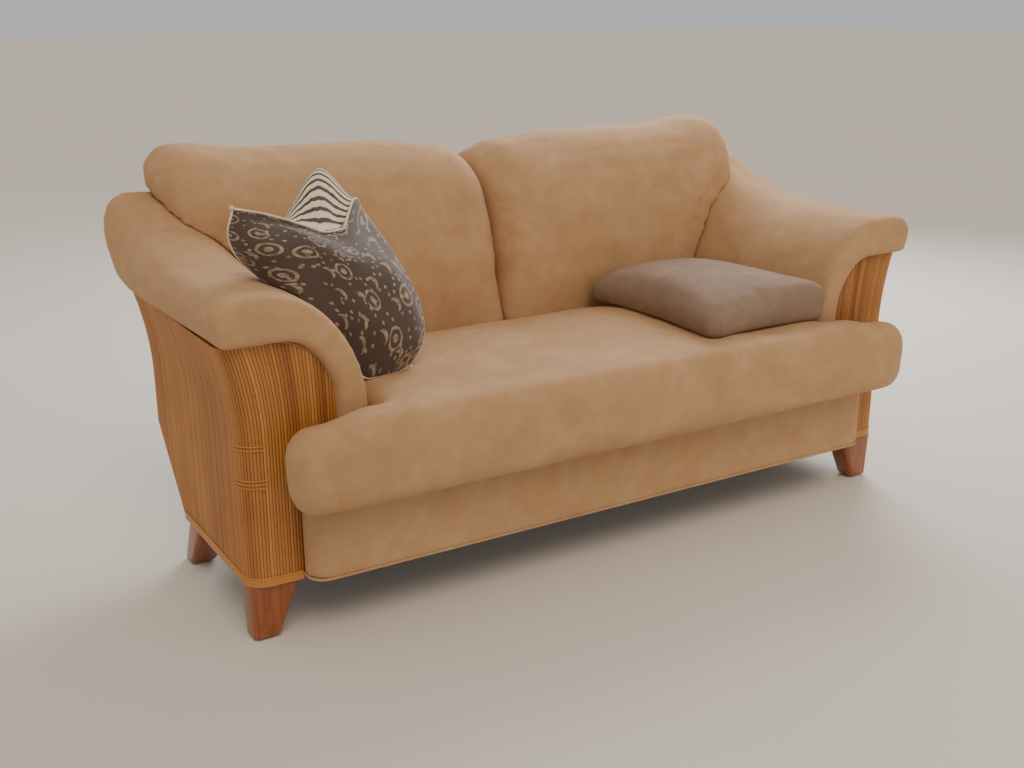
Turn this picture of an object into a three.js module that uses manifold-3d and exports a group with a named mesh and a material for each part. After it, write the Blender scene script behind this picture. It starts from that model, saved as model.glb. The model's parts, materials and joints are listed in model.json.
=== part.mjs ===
// Two-seat sofa with rattan arms, upholstered pads, one T-shaped seat cushion and two scatter cushions.
// Millimetres. +X to the right of someone facing the sofa, +Y to its back, +Z up.
// The origin is on the floor, under the middle of the whole sofa.

import * as THREE from 'three';
import Module from 'manifold-3d';
import { mergeVertices } from 'three/addons/utils/BufferGeometryUtils.js';

const wasm = await Module();
wasm.setup();

// Driving dimensions
const SEAT_CROWN = 464;
const DECK_TOP = 283;
const PANEL_BOTTOM = 118;
const PANEL_TOP = 590;
const FRAME_BOTTOM = 118;
const RAIL_TOP = 270;
const RATTAN_HALF = 836;
const ARM_INNER = 586;
const FRONT_PLANE = -297;
const CUSHION_FRONT = -438;
const BACK_PLANE = 438;
const GAP = 0.3;
const OUTLINE_STEP = 0.01;

// Rattan side and front of each arm, with the corner post between them
const PANEL_THICK = 18;
const CORNER_RADIUS = 40;
const PANEL_LEVELS = 16;
const FLARE = 29;
const FLARE_FROM = 400;
const SIDE_REAR = 260;
const SIDE_REAR_FOOT = 103;
const SWEEP_TOP = 295;
const BAND_THICK = 3;
const BAND_HEIGHT = 15;
const BAND_REAR = 100;
const INFILL = { front: 180, thick: 25, levels: 4 };

// Arch of the arm front, and the pad that lies over it
const ARCH = { inner: 649, crown: 755, spring: 455 };
const ARCH_SEGMENTS = 6;
const SWEEP_PASSES = 8;
const ARM_SPACE_OUT = 80;
const ARM_SPACE_BEHIND = 1;
const ARM_SPACE_CLEAR = 0.8;
const PAD = {
  crown: 780,
  top: 680,
  spring: 440,
  shoulder: 836,
  bulge: 881,
  bulgeLevel: 634,
  lip: 867,
  front: -322,
  edge: 20,
  edgeIn: 12,
  rearWiden: 17,
  crownRise: 104,
  riseFrom: -60,
  riseLength: 400,
  lipRise: 30,
  lipRiseFrom: 200,
  lipRiseLength: 150,
};

// Raked back: shell behind, two pads in front of it and over its top
const SHELL = { half: 808, corner: 120, thick: 45, top: 800, kneeY: 262, footY: 128 };
const BACK_PLACES = 22;
const BACK = { seam: 1.5, half: 795, front: 145, straightTo: 450, rearEdge: 822 };
const LOBE = { from: 730, y: 360, z: 830, least: 0.25 };
const BACK_TOP_NOMINAL = 868;
const BACK_TOP_FROM = 600;

// The back pad's side profile above its straight foot: two handles and an end for each curve, as y and z
const BACK_CURVES = [
  [130, 540, 152, 660, 200, 760],
  [232, 830, 290, BACK_TOP_NOMINAL, 362, BACK_TOP_NOMINAL],
  [410, BACK_TOP_NOMINAL, BACK_PLANE, 850, BACK_PLANE, BACK.rearEdge],
];

// How high the back's top lies at each distance from its middle
const BACK_TOP_LINE = [
  { x: 0, z: 827 },
  { x: 90, z: 850 },
  { x: 260, z: 864 },
  { x: 560, z: 866 },
  { x: 725, z: 884 },
  { x: 800, z: 884 },
];

// Base frame, apron and feet
const RAIL_THICK = 40;
const APRON = { half: 731, front: -351, bottom: 126, corner: 35 };
const DUST = { thick: 1.5, wide: 772, narrow: 722, clear: 4 };
const FOOT = { width: 100, depth: 74, soleWidth: 55, soleDepth: 50, corner: 20 };
const FEET = [
  { row: 'front', outer: 833, outerSole: 832, nearY: -293, nearSole: -285 },
  { row: 'rear', outer: 833, outerSole: 832, nearY: 26, nearSole: 106 },
];
const GLIDE = { radius: 11, height: 5, sides: 24 };

// Loose cushions
const SEAT = { half: 582, ear: 784, earBack: -326, back: 140, earRound: 54, round: 44, edge: 40, edgeHigh: 58 };
const PLAIN_CUSHION = { x: 396, y: -120, width: 370, depth: 490, high: 88, round: 45, edge: 26 };
const THROW = { half: 190, pull: 26, thick: 140, edge: 70, seam: 2, sag: [90, -36, -10] };
const THROW_CORNERS = {
  lowerLeft: [-640, -290, 590],
  lowerRight: [-452, -182, 472],
  upperLeft: [-775, -150, 805],
  upperRight: [-458, 35, 815],
};
const SEAT_AREA = 2000;

const SIDES = [
  { name: 'left', sign: -1 },
  { name: 'right', sign: 1 },
];

const FINISH = {
  velour: { color: 0xd2b48c, roughness: 0.95, metalness: 0 },
  rattan: { color: 0xb8793a, roughness: 0.55, metalness: 0 },
  foot: { color: 0x87492a, roughness: 0.45, metalness: 0 },
  timber: { color: 0xc8a878, roughness: 0.8, metalness: 0 },
  dust: { color: 0x2a2a2c, roughness: 0.95, metalness: 0 },
  glide: { color: 0x4a4a4a, roughness: 0.6, metalness: 0 },
  taupe: { color: 0x7d6654, roughness: 0.95, metalness: 0 },
  print: { color: 0x3d2f28, roughness: 0.9, metalness: 0 },
};

const sofa = new THREE.Group();

function addPiece(name, geometry, finish) {
  const material = new THREE.MeshStandardMaterial(FINISH[finish]);
  const mesh = new THREE.Mesh(geometry, material);
  mesh.name = name;
  sofa.add(mesh);
}

// Moves every vertex by a rule that changes the vector it is given
function deform(geometry, rule) {
  const places = geometry.attributes.position;
  const point = new THREE.Vector3();
  for (let i = 0; i < places.count; i += 1) {
    point.fromBufferAttribute(places, i);
    rule(point);
    places.setXYZ(i, point.x, point.y, point.z);
  }
  geometry.computeVertexNormals();
  return geometry;
}

// The shape's outline as straight steps, without points that fall on the one before
function stepped(shape, segments) {
  const points = shape.getPoints(segments);
  const kept = points.filter((point, i) => {
    const before = points[(i + points.length - 1) % points.length];
    return point.distanceTo(before) > OUTLINE_STEP;
  });
  return new THREE.Shape(kept);
}

function extrude(shape, depth, options) {
  const { segments = 4, ...rest } = options;
  return new THREE.ExtrudeGeometry(stepped(shape, segments), { depth, bevelEnabled: false, ...rest });
}

// A shape drawn in plan, raised from one level to another
function raise(shape, bottom, top, options = {}) {
  return extrude(shape, top - bottom, options).translate(0, 0, bottom);
}

// A shape drawn from the front as x and z, carried back from one y to another
function carryBack(shape, front, rear, options = {}) {
  return extrude(shape, rear - front, options).rotateX(Math.PI / 2).translate(0, rear, 0);
}

// A shape drawn from the side as y and z, carried across from one x to another
function carryAcross(shape, from, to, options = {}) {
  return extrude(shape, to - from, options).rotateX(Math.PI / 2).rotateZ(Math.PI / 2).translate(from, 0, 0);
}

function outline(points) {
  return new THREE.Shape(points.map(([x, y]) => new THREE.Vector2(x, y)));
}

// The same piece for the other arm: x turned round, and each triangle with it
function mirrored(geometry) {
  const flat = geometry.index ? geometry.toNonIndexed() : geometry.clone();
  const places = flat.attributes.position.array;
  for (let i = 0; i < places.length; i += 9) {
    for (const axis of [0, 1, 2]) {
      const second = places[i + 3 + axis];
      places[i + 3 + axis] = places[i + 6 + axis];
      places[i + 6 + axis] = second;
    }
    for (const corner of [0, 3, 6]) {
      places[i + corner] = -places[i + corner];
    }
  }
  flat.computeVertexNormals();
  return flat;
}

function forSide(geometry, side) {
  return side.sign > 0 ? geometry : mirrored(geometry);
}

function toSolid(geometry) {
  const bare = geometry.clone();
  bare.deleteAttribute('normal');
  bare.deleteAttribute('uv');
  const merged = mergeVertices(bare, 1e-3);
  const vertProperties = new Float32Array(merged.attributes.position.array);
  const triVerts = new Uint32Array(merged.index.array);
  return new wasm.Manifold(new wasm.Mesh({ numProp: 3, vertProperties, triVerts }));
}

function toGeometry(solid) {
  const mesh = solid.getMesh();
  const geometry = new THREE.BufferGeometry();
  geometry.setAttribute('position', new THREE.BufferAttribute(new Float32Array(mesh.vertProperties), 3));
  geometry.setIndex(new THREE.BufferAttribute(new Uint32Array(mesh.triVerts), 1));
  geometry.computeVertexNormals();
  return geometry;
}

// Height or offset read from a short table, eased between its rows
function readTable(rows, x) {
  const next = rows.findIndex((row) => row.x >= x);
  if (next <= 0) {
    return rows[next === 0 ? 0 : rows.length - 1].z;
  }
  const low = rows[next - 1];
  const high = rows[next];
  const t = (x - low.x) / (high.x - low.x);
  const eased = (1 - Math.cos(Math.PI * t)) / 2;
  return low.z + (high.z - low.z) * eased;
}

function ramp(value, from, length) {
  return THREE.MathUtils.clamp((value - from) / length, 0, 1);
}

// How far the rattan leans out at a level
function flare(z) {
  return FLARE * ramp(z, FLARE_FROM, PANEL_TOP - FLARE_FROM) ** 2;
}

// Where the rear edge of the rattan side lies at a level
function sideRear(z) {
  return SIDE_REAR - (SIDE_REAR - SIDE_REAR_FOOT) * (1 - ramp(z, PANEL_BOTTOM, SWEEP_TOP - PANEL_BOTTOM));
}

// Where the rear face of the back shell lies at a level
function shellRear(z) {
  if (z < DECK_TOP) {
    return SHELL.kneeY - (SHELL.kneeY - SHELL.footY) * (1 - ramp(z, FRAME_BOTTOM, DECK_TOP - FRAME_BOTTOM));
  }
  return SHELL.kneeY + (BACK_PLANE - SHELL.kneeY) * ((z - DECK_TOP) / (SHELL.top - DECK_TOP));
}

function shellFront(z) {
  return shellRear(z) - SHELL.thick;
}

// Corner post: a quarter round that leans out with the rattan
function cornerPost() {
  const centreX = RATTAN_HALF - CORNER_RADIUS;
  const centreY = FRONT_PLANE + CORNER_RADIUS;
  const quarter = new THREE.Shape();
  quarter.moveTo(centreX, centreY);
  quarter.lineTo(centreX, FRONT_PLANE);
  quarter.absarc(centreX, centreY, CORNER_RADIUS, -Math.PI / 2, 0, false);
  const post = raise(quarter, PANEL_BOTTOM, PANEL_TOP, { steps: PANEL_LEVELS });
  return deform(post, (p) => {
    p.x += flare(p.z);
  });
}

function sidePanel() {
  const front = FRONT_PLANE + CORNER_RADIUS + GAP;
  const length = SIDE_REAR - front;
  const height = PANEL_TOP - PANEL_BOTTOM;
  const panel = new THREE.BoxGeometry(PANEL_THICK, length, height, 1, 6, PANEL_LEVELS);
  panel.translate(RATTAN_HALF - PANEL_THICK / 2, front + length / 2, PANEL_BOTTOM + height / 2);
  return deform(panel, (p) => {
    p.y = front + ((p.y - front) / length) * (sideRear(p.z) - front);
    p.x += flare(p.z);
  });
}

// Arm front: a board with a round inner top corner, seen from the front
function frontPanel() {
  const outer = RATTAN_HALF - CORNER_RADIUS - GAP;
  const board = new THREE.Shape();
  board.moveTo(ARCH.inner, PANEL_BOTTOM);
  for (let level = 0; level <= PANEL_LEVELS; level += 1) {
    const z = PANEL_BOTTOM + ((PANEL_TOP - PANEL_BOTTOM) * level) / PANEL_LEVELS;
    board.lineTo(outer + flare(z), z);
  }
  const archHalf = ARCH.crown - ARCH.inner;
  board.lineTo(ARCH.crown, PANEL_TOP);
  board.absellipse(ARCH.crown, ARCH.spring, archHalf, PANEL_TOP - ARCH.spring, Math.PI / 2, Math.PI, false);
  return carryBack(board, FRONT_PLANE, FRONT_PLANE + PANEL_THICK, { segments: ARCH_SEGMENTS });
}

// Upholstered infill inside the rattan, from its rear edge back to the raked shell and up to the arm pad
function rearInfill() {
  const { front, thick, levels } = INFILL;
  const points = [
    [front, DECK_TOP + GAP],
    [shellFront(DECK_TOP) - GAP, DECK_TOP + GAP],
  ];
  const rear = shellFront(PANEL_TOP) - GAP;
  for (let level = 0; level <= levels; level += 1) {
    const y = rear + ((front - rear) * level) / levels;
    points.push([y, PANEL_TOP + PAD.lipRise * ramp(y, PAD.lipRiseFrom, PAD.lipRiseLength) ** 2]);
  }
  const outer = RATTAN_HALF - PANEL_THICK - GAP;
  return carryAcross(outline(points), outer - thick, outer);
}

// Flat band round the foot of the rattan
function baseBand() {
  const centreX = RATTAN_HALF - CORNER_RADIUS;
  const centreY = FRONT_PLANE + CORNER_RADIUS;
  const inner = CORNER_RADIUS + GAP;
  const outer = inner + BAND_THICK;
  const start = APRON.half + GAP;
  const band = new THREE.Shape();
  band.moveTo(start, centreY - inner);
  band.lineTo(start, centreY - outer);
  band.absarc(centreX, centreY, outer, -Math.PI / 2, 0, false);
  band.lineTo(centreX + outer, BAND_REAR);
  band.lineTo(centreX + inner, BAND_REAR);
  band.absarc(centreX, centreY, inner, 0, -Math.PI / 2, true);
  return raise(band, PANEL_BOTTOM, PANEL_BOTTOM + BAND_HEIGHT);
}

// Outer line of the arm pad from the seat up over the crown to its outer bulge
function drawPadTop(shape, clear) {
  const inner = ARM_INNER - clear;
  const top = PAD.top + clear;
  shape.moveTo(inner, DECK_TOP + GAP);
  shape.lineTo(inner, PAD.spring);
  shape.absellipse(PAD.crown, PAD.spring, PAD.crown - inner, top - PAD.spring, Math.PI, Math.PI / 2, true);
  shape.lineTo(PAD.shoulder, top);
  const bulge = PAD.bulge + clear;
  const drop = top - PAD.bulgeLevel;
  shape.absellipse(PAD.shoulder, PAD.bulgeLevel, bulge - PAD.shoulder, drop, Math.PI / 2, 0, true);
}

// The arm sweeps up and widens towards the back, and ends on the raked front of the shell
function sweepArm(shape, edgeIn, rearGap) {
  const rear = shellFront(PAD.top);
  const bevel = { bevelEnabled: true, bevelThickness: PAD.edge, bevelSize: edgeIn, bevelOffset: -edgeIn };
  const settings = { ...bevel, bevelSegments: 3, steps: 12, segments: ARCH_SEGMENTS };
  const straight = carryBack(shape, PAD.front + PAD.edge, rear - PAD.edge, settings);
  return deform(straight, (p) => {
    const along = (p.y - PAD.front) / (rear - PAD.front);
    const share = ramp(p.z, PANEL_TOP, PAD.top - PANEL_TOP);
    const lipShare = ramp(p.z, ARCH.spring, PANEL_TOP - ARCH.spring) * (1 - share);
    const level = p.z;
    for (let pass = 0; pass < SWEEP_PASSES; pass += 1) {
      p.y = PAD.front + along * (shellFront(p.z) - rearGap - PAD.front);
      const crown = PAD.crownRise * ramp(p.y, PAD.riseFrom, PAD.riseLength) ** 2;
      const lip = PAD.lipRise * ramp(p.y, PAD.lipRiseFrom, PAD.lipRiseLength) ** 2;
      p.z = level + lip * lipShare + crown * share;
    }
    p.x += PAD.rearWiden * ramp(p.y, PAD.front, rear - PAD.front) * ramp(p.x, PAD.crown, PAD.bulge - PAD.crown);
  });
}

function armPad() {
  const hook = new THREE.Shape();
  drawPadTop(hook, 0);
  hook.lineTo(PAD.lip, PANEL_TOP + GAP);
  hook.lineTo(ARCH.crown, PANEL_TOP + GAP);
  const inner = ARCH.inner - GAP;
  const rise = PANEL_TOP + GAP - ARCH.spring;
  hook.absellipse(ARCH.crown, ARCH.spring, ARCH.crown - inner, rise, Math.PI / 2, Math.PI, false);
  hook.lineTo(inner, DECK_TOP + GAP);
  return sweepArm(hook, PAD.edgeIn, GAP);
}

// What the arm takes out of the back pads: everything under its pad's top, out past its bulge
function armSpace() {
  const space = new THREE.Shape();
  drawPadTop(space, ARM_SPACE_CLEAR);
  space.lineTo(PAD.bulge + ARM_SPACE_OUT, PAD.bulgeLevel);
  space.lineTo(PAD.bulge + ARM_SPACE_OUT, DECK_TOP);
  space.lineTo(ARM_INNER - ARM_SPACE_CLEAR, DECK_TOP);
  return sweepArm(space, 0, -ARM_SPACE_BEHIND);
}

// What the shell takes out of the back pads, from the deck up to the shell's top
function shellSpace() {
  const behind = BACK_PLANE + SHELL.thick;
  const profile = outline([
    [shellFront(DECK_TOP) - GAP, DECK_TOP],
    [behind, DECK_TOP],
    [behind, SHELL.top + GAP],
    [shellFront(SHELL.top) - GAP, SHELL.top + GAP],
  ]);
  return carryAcross(profile, -SHELL.thick, BACK.half + SHELL.thick);
}

// One half of the back: a side profile carried from the middle seam out to its lobe
function backPad() {
  const profile = new THREE.Shape();
  profile.moveTo(BACK.front, DECK_TOP + GAP);
  profile.lineTo(BACK.front, BACK.straightTo);
  for (const curve of BACK_CURVES) {
    profile.bezierCurveTo(...curve);
  }
  profile.lineTo(BACK_PLANE, DECK_TOP + GAP);
  const pad = carryAcross(profile, BACK.seam, BACK.half, { steps: BACK_PLACES });
  const shaped = deform(pad, (p) => {
    const share = ramp(p.z, BACK_TOP_FROM, BACK_TOP_NOMINAL - BACK_TOP_FROM);
    p.z += (readTable(BACK_TOP_LINE, p.x) - BACK_TOP_NOMINAL) * share;
    const out = ramp(p.x, LOBE.from, BACK.half - LOBE.from);
    const round = Math.max(Math.sqrt(1 - out ** 2), LOBE.least);
    p.y = LOBE.y + (p.y - LOBE.y) * round;
    p.z = LOBE.z + (p.z - LOBE.z) * round;
  });
  return toGeometry(toSolid(shaped).subtract(toSolid(armSpace())).subtract(toSolid(shellSpace())));
}

// Raked shell: its side profile carried across, with the two top corners cut round
function backShell() {
  const profile = outline([
    [shellRear(FRAME_BOTTOM), FRAME_BOTTOM],
    [shellRear(DECK_TOP), DECK_TOP],
    [shellRear(SHELL.top), SHELL.top],
    [shellFront(SHELL.top), SHELL.top],
    [shellFront(DECK_TOP), DECK_TOP],
    [shellFront(FRAME_BOTTOM), FRAME_BOTTOM],
  ]);
  const { half, corner, top } = SHELL;
  const face = new THREE.Shape();
  face.moveTo(-half, 0);
  face.lineTo(half, 0);
  face.absarc(half - corner, top - corner, corner, 0, Math.PI / 2, false);
  face.absarc(corner - half, top - corner, corner, Math.PI / 2, Math.PI, false);
  const board = toSolid(carryAcross(profile, -half, half));
  return toGeometry(board.intersect(toSolid(carryBack(face, 0, BACK_PLANE + SHELL.thick))));
}

// A plan that is full width behind the arm fronts and narrower between them
function steppedPlan(inner, outer, front, step, rear) {
  return outline([
    [-inner, front],
    [inner, front],
    [inner, step],
    [outer, step],
    [outer, rear],
    [-outer, rear],
    [-outer, step],
    [-inner, step],
  ]);
}

function frontRail() {
  const rear = FRONT_PLANE + PANEL_THICK + RAIL_THICK;
  const outer = RATTAN_HALF - CORNER_RADIUS;
  const plan = steppedPlan(ARCH.inner - GAP, outer, FRONT_PLANE, FRONT_PLANE + PANEL_THICK, rear);
  return raise(plan, FRAME_BOTTOM, RAIL_TOP);
}

function rearRail() {
  const lower = shellFront(FRAME_BOTTOM) - GAP;
  const upper = shellFront(RAIL_TOP) - GAP;
  const profile = outline([
    [lower - RAIL_THICK, FRAME_BOTTOM],
    [lower, FRAME_BOTTOM],
    [upper, RAIL_TOP],
    [upper - RAIL_THICK, RAIL_TOP],
  ]);
  const half = RATTAN_HALF - PANEL_THICK;
  return carryAcross(profile, -half, half);
}

// A rail from the front rail back to the sloping rear rail
function lengthRail(from, to, top) {
  const front = FRONT_PLANE + PANEL_THICK + RAIL_THICK;
  const profile = outline([
    [front, FRAME_BOTTOM],
    [shellFront(FRAME_BOTTOM) - RAIL_THICK - 2 * GAP, FRAME_BOTTOM],
    [shellFront(top) - RAIL_THICK - 2 * GAP, top],
    [front, top],
  ]);
  return carryAcross(profile, from, to);
}

function seatDeck() {
  const outer = RATTAN_HALF - CORNER_RADIUS;
  const step = FRONT_PLANE + PANEL_THICK;
  const plan = steppedPlan(ARCH.inner - GAP, outer, FRONT_PLANE, step, shellFront(RAIL_TOP) - GAP);
  return raise(plan, RAIL_TOP, DECK_TOP);
}

function apron() {
  const { half, front, corner } = APRON;
  const plan = new THREE.Shape();
  plan.moveTo(half, FRONT_PLANE);
  plan.lineTo(-half, FRONT_PLANE);
  plan.absarc(corner - half, front + corner, corner, Math.PI, 1.5 * Math.PI, false);
  plan.absarc(half - corner, front + corner, corner, 1.5 * Math.PI, 2 * Math.PI, false);
  return raise(plan, APRON.bottom, DECK_TOP);
}

// Thin cloth under the frame, notched round the feet
function dustCover() {
  const front = FRONT_PLANE + PANEL_THICK;
  const { wide, narrow, clear } = DUST;
  const rear = shellFront(FRAME_BOTTOM) - clear;
  const frontNotch = FEET[0].nearY + FOOT.depth + clear;
  const rearNotch = FEET[1].nearY - clear;
  const plan = outline([
    [-narrow, front],
    [narrow, front],
    [narrow, frontNotch],
    [wide, frontNotch],
    [wide, rearNotch],
    [narrow, rearNotch],
    [narrow, rear],
    [-narrow, rear],
    [-narrow, rearNotch],
    [-wide, rearNotch],
    [-wide, frontNotch],
    [-narrow, frontNotch],
  ]);
  return raise(plan, FRAME_BOTTOM - DUST.thick, FRAME_BOTTOM);
}

function roundedPlan(width, depth, radius) {
  const plan = new THREE.Shape();
  const x = width / 2 - radius;
  const y = depth / 2 - radius;
  plan.absarc(x, -y, radius, -Math.PI / 2, 0, false);
  plan.absarc(x, y, radius, 0, Math.PI / 2, false);
  plan.absarc(-x, y, radius, Math.PI / 2, Math.PI, false);
  plan.absarc(-x, -y, radius, Math.PI, 1.5 * Math.PI, false);
  return plan;
}

// A foot: a rounded block that narrows to its sole, mostly on its inner side
function foot(place) {
  const block = raise(roundedPlan(1, 1, FOOT.corner / FOOT.width), GLIDE.height, FRAME_BOTTOM);
  return deform(block, (p) => {
    const up = ramp(p.z, GLIDE.height, FRAME_BOTTOM - GLIDE.height);
    const width = THREE.MathUtils.lerp(FOOT.soleWidth, FOOT.width, up);
    const depth = THREE.MathUtils.lerp(FOOT.soleDepth, FOOT.depth, up);
    const outer = THREE.MathUtils.lerp(place.outerSole, place.outer, up);
    const near = THREE.MathUtils.lerp(place.nearSole, place.nearY, up);
    p.x = outer + (p.x - 0.5) * width;
    p.y = near + (p.y + 0.5) * depth;
  });
}

function glide(place) {
  const { radius, height, sides } = GLIDE;
  const disc = new THREE.CylinderGeometry(radius, radius, height, sides).rotateX(Math.PI / 2);
  const x = place.outerSole - FOOT.soleWidth / 2;
  const y = place.nearSole + FOOT.soleDepth / 2;
  return disc.translate(x, y, height / 2);
}

// Seat cushion: T plan with an ear in front of each arm, all its edges round
function seatCushion() {
  const { half, ear, earBack, back, earRound, round, edge, edgeHigh } = SEAT;
  const plan = new THREE.Shape();
  plan.absarc(ear - earRound, CUSHION_FRONT + earRound, earRound, -Math.PI / 2, 0, false);
  plan.absarc(ear - earRound, earBack - earRound, earRound, 0, Math.PI / 2, false);
  plan.lineTo(half, earBack);
  plan.absarc(half - round, back - round, round, 0, Math.PI / 2, false);
  plan.absarc(round - half, back - round, round, Math.PI / 2, Math.PI, false);
  plan.lineTo(-half, earBack);
  plan.absarc(earRound - ear, earBack - earRound, earRound, Math.PI / 2, Math.PI, false);
  plan.absarc(earRound - ear, CUSHION_FRONT + earRound, earRound, Math.PI, 1.5 * Math.PI, false);
  const bottom = DECK_TOP + GAP;
  const bevel = { bevelEnabled: true, bevelThickness: edgeHigh, bevelSize: edge };
  const rounding = { ...bevel, bevelOffset: -edge, bevelSegments: 5 };
  return raise(plan, bottom + edgeHigh, SEAT_CROWN - edgeHigh, rounding);
}

function plainCushion() {
  const { x, y, width, depth, high, round, edge } = PLAIN_CUSHION;
  const plan = roundedPlan(width, depth, round);
  const bottom = SEAT_CROWN + GAP;
  const bevel = { bevelEnabled: true, bevelThickness: edge, bevelSize: edge };
  const rounding = { ...bevel, bevelOffset: -edge, bevelSegments: 3 };
  return raise(plan, bottom + edge, bottom + high - edge, rounding).translate(x, y, 0);
}

// Throw cushion: sides that pull in between the corners, slumped into the left corner of the seat
function throwCushion() {
  const { half, pull, thick, edge, seam, sag } = THROW;
  const waist = half - pull;
  const face = new THREE.Shape();
  face.moveTo(-half, -half);
  face.quadraticCurveTo(0, -waist, half, -half);
  face.quadraticCurveTo(waist, 0, half, half);
  face.quadraticCurveTo(0, waist, -half, half);
  face.quadraticCurveTo(-waist, 0, -half, -half);
  const bevel = { bevelEnabled: true, bevelThickness: (thick - seam) / 2, bevelSize: edge };
  const cushion = raise(face, -seam / 2, seam / 2, { ...bevel, bevelOffset: -edge, bevelSegments: 5 });
  const corner = (name) => new THREE.Vector3(...THROW_CORNERS[name]);
  const across = corner('upperRight').sub(corner('upperLeft'));
  const upward = corner('upperRight').sub(corner('lowerRight'));
  const outward = across.cross(upward).normalize();
  deform(cushion, (p) => {
    const u = (p.x / half + 1) / 2;
    const v = (p.y / half + 1) / 2;
    const below = corner('lowerLeft').lerp(corner('lowerRight'), u);
    const above = corner('upperLeft').lerp(corner('upperRight'), u);
    const swell = new THREE.Vector3(...sag).multiplyScalar(Math.sin(Math.PI * v) * u ** 2);
    p.copy(below.lerp(above, v).addScaledVector(outward, p.z).add(swell));
  });
  const seatBox = new THREE.BoxGeometry(SEAT_AREA, SEAT_AREA, SEAT_CROWN);
  const seat = toSolid(seatBox.translate(0, 0, SEAT_CROWN / 2 + GAP));
  return toGeometry(toSolid(cushion).subtract(toSolid(mirrored(armSpace()))).subtract(seat));
}

for (const side of SIDES) {
  addPiece(`corner_post_${side.name}`, forSide(cornerPost(), side), 'rattan');
  addPiece(`side_panel_${side.name}`, forSide(sidePanel(), side), 'rattan');
  addPiece(`front_panel_${side.name}`, forSide(frontPanel(), side), 'rattan');
  addPiece(`base_band_${side.name}`, forSide(baseBand(), side), 'rattan');
  addPiece(`rear_infill_${side.name}`, forSide(rearInfill(), side), 'velour');
  addPiece(`arm_pad_${side.name}`, forSide(armPad(), side), 'velour');
  addPiece(`back_pad_${side.name}`, forSide(backPad(), side), 'velour');
  const railOuter = RATTAN_HALF - PANEL_THICK;
  addPiece(`rail_${side.name}`, forSide(lengthRail(railOuter - RAIL_THICK, railOuter, RAIL_TOP), side), 'timber');
  for (const place of FEET) {
    addPiece(`foot_${place.row}_${side.name}`, forSide(foot(place), side), 'foot');
    addPiece(`glide_${place.row}_${side.name}`, forSide(glide(place), side), 'glide');
  }
}

addPiece('rail_front', frontRail(), 'timber');
addPiece('rail_rear', rearRail(), 'timber');
addPiece('rail_centre', lengthRail(-RAIL_THICK / 2, RAIL_THICK / 2, RAIL_TOP), 'timber');
addPiece('seat_deck', seatDeck(), 'dust');
addPiece('dust_cover', dustCover(), 'dust');
addPiece('back_shell', backShell(), 'velour');
addPiece('apron', apron(), 'velour');
addPiece('seat_cushion', seatCushion(), 'velour');
addPiece('plain_cushion', plainCushion(), 'taupe');
addPiece('throw_cushion', throwCushion(), 'print');

export default sofa;
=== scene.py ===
"""Looks of a two-seat sofa with rattan-clad arms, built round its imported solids.

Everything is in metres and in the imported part's own frame: +X to the right of someone
facing the sofa, +Y to its back, +Z up, with the origin on the floor under its middle.
"""

import functools
import json
import logging
import math
from collections.abc import Callable, Sequence
from dataclasses import dataclass
from enum import Enum
from typing import Any

import bmesh
import bpy
from bpy.types import Material, Node, NodeSocket, NodeTree, Object
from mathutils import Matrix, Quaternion, Vector, noise

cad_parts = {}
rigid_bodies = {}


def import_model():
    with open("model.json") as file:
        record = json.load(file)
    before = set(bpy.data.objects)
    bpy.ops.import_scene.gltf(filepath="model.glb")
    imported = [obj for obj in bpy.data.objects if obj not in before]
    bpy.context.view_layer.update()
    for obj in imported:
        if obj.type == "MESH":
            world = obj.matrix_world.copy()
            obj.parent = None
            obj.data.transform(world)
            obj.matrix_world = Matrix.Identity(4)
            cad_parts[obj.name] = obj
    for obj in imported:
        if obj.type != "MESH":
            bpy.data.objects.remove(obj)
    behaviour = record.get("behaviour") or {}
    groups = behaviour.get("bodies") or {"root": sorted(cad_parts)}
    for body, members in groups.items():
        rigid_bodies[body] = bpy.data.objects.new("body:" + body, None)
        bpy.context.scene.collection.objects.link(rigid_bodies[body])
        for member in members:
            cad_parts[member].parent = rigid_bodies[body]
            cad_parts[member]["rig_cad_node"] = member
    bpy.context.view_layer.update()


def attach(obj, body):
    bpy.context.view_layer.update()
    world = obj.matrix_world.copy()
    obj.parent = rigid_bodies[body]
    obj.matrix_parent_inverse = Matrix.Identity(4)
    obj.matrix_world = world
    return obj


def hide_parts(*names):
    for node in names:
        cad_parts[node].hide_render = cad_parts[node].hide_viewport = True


LOG = logging.getLogger("sofa")
MM = 0.001

SEAT_CROWN = 0.464
RATTAN_HALF = 0.836
CORNER_RADIUS = 0.040
FRONT_PLANE = -0.297
PANEL_BOTTOM = 0.118
PANEL_TOP = 0.590
FLARE = 0.029
FLARE_FROM = 0.400

# A wave texture of scale one turns by this many radians over one unit
WAVE_TURNS = 20.0
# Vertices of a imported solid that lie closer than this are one
WELD = 0.00002
# Two lengths that differ by less than this are the same
SAME = 1e-6
# Two points with the same place to so many decimals of a metre are one point of a seam
DECIMALS = 5
# Rings of faces on a quarter of a cord, beyond the first
CORD_RINGS = 2
# A right arm's rattan looks this way
OUTWARDS = Vector((1, -1, 0))

Rule = Callable[[Vector], Vector]
Pair = tuple[float, float]
Colours = tuple[tuple[float, str], ...]


class Side(Enum):
    """One arm or the other, as the sign of its x."""

    LEFT = -1
    RIGHT = 1

    @property
    def label(self) -> str:
        """The side's name at the end of a node's name."""
        return self.name.lower()


class Lay(Enum):
    """Which way a reed or a wood grain runs, as the stretch of its pattern along x, y and z."""

    UPRIGHT = (1.0, 1.0, 0.02)
    ACROSS = (0.02, 1.0, 1.0)


def ramp(value: float, start: float, length: float) -> float:
    """Goes from nought to one over a length, and stays there."""
    return min(max((value - start) / length, 0.0), 1.0)


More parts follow.
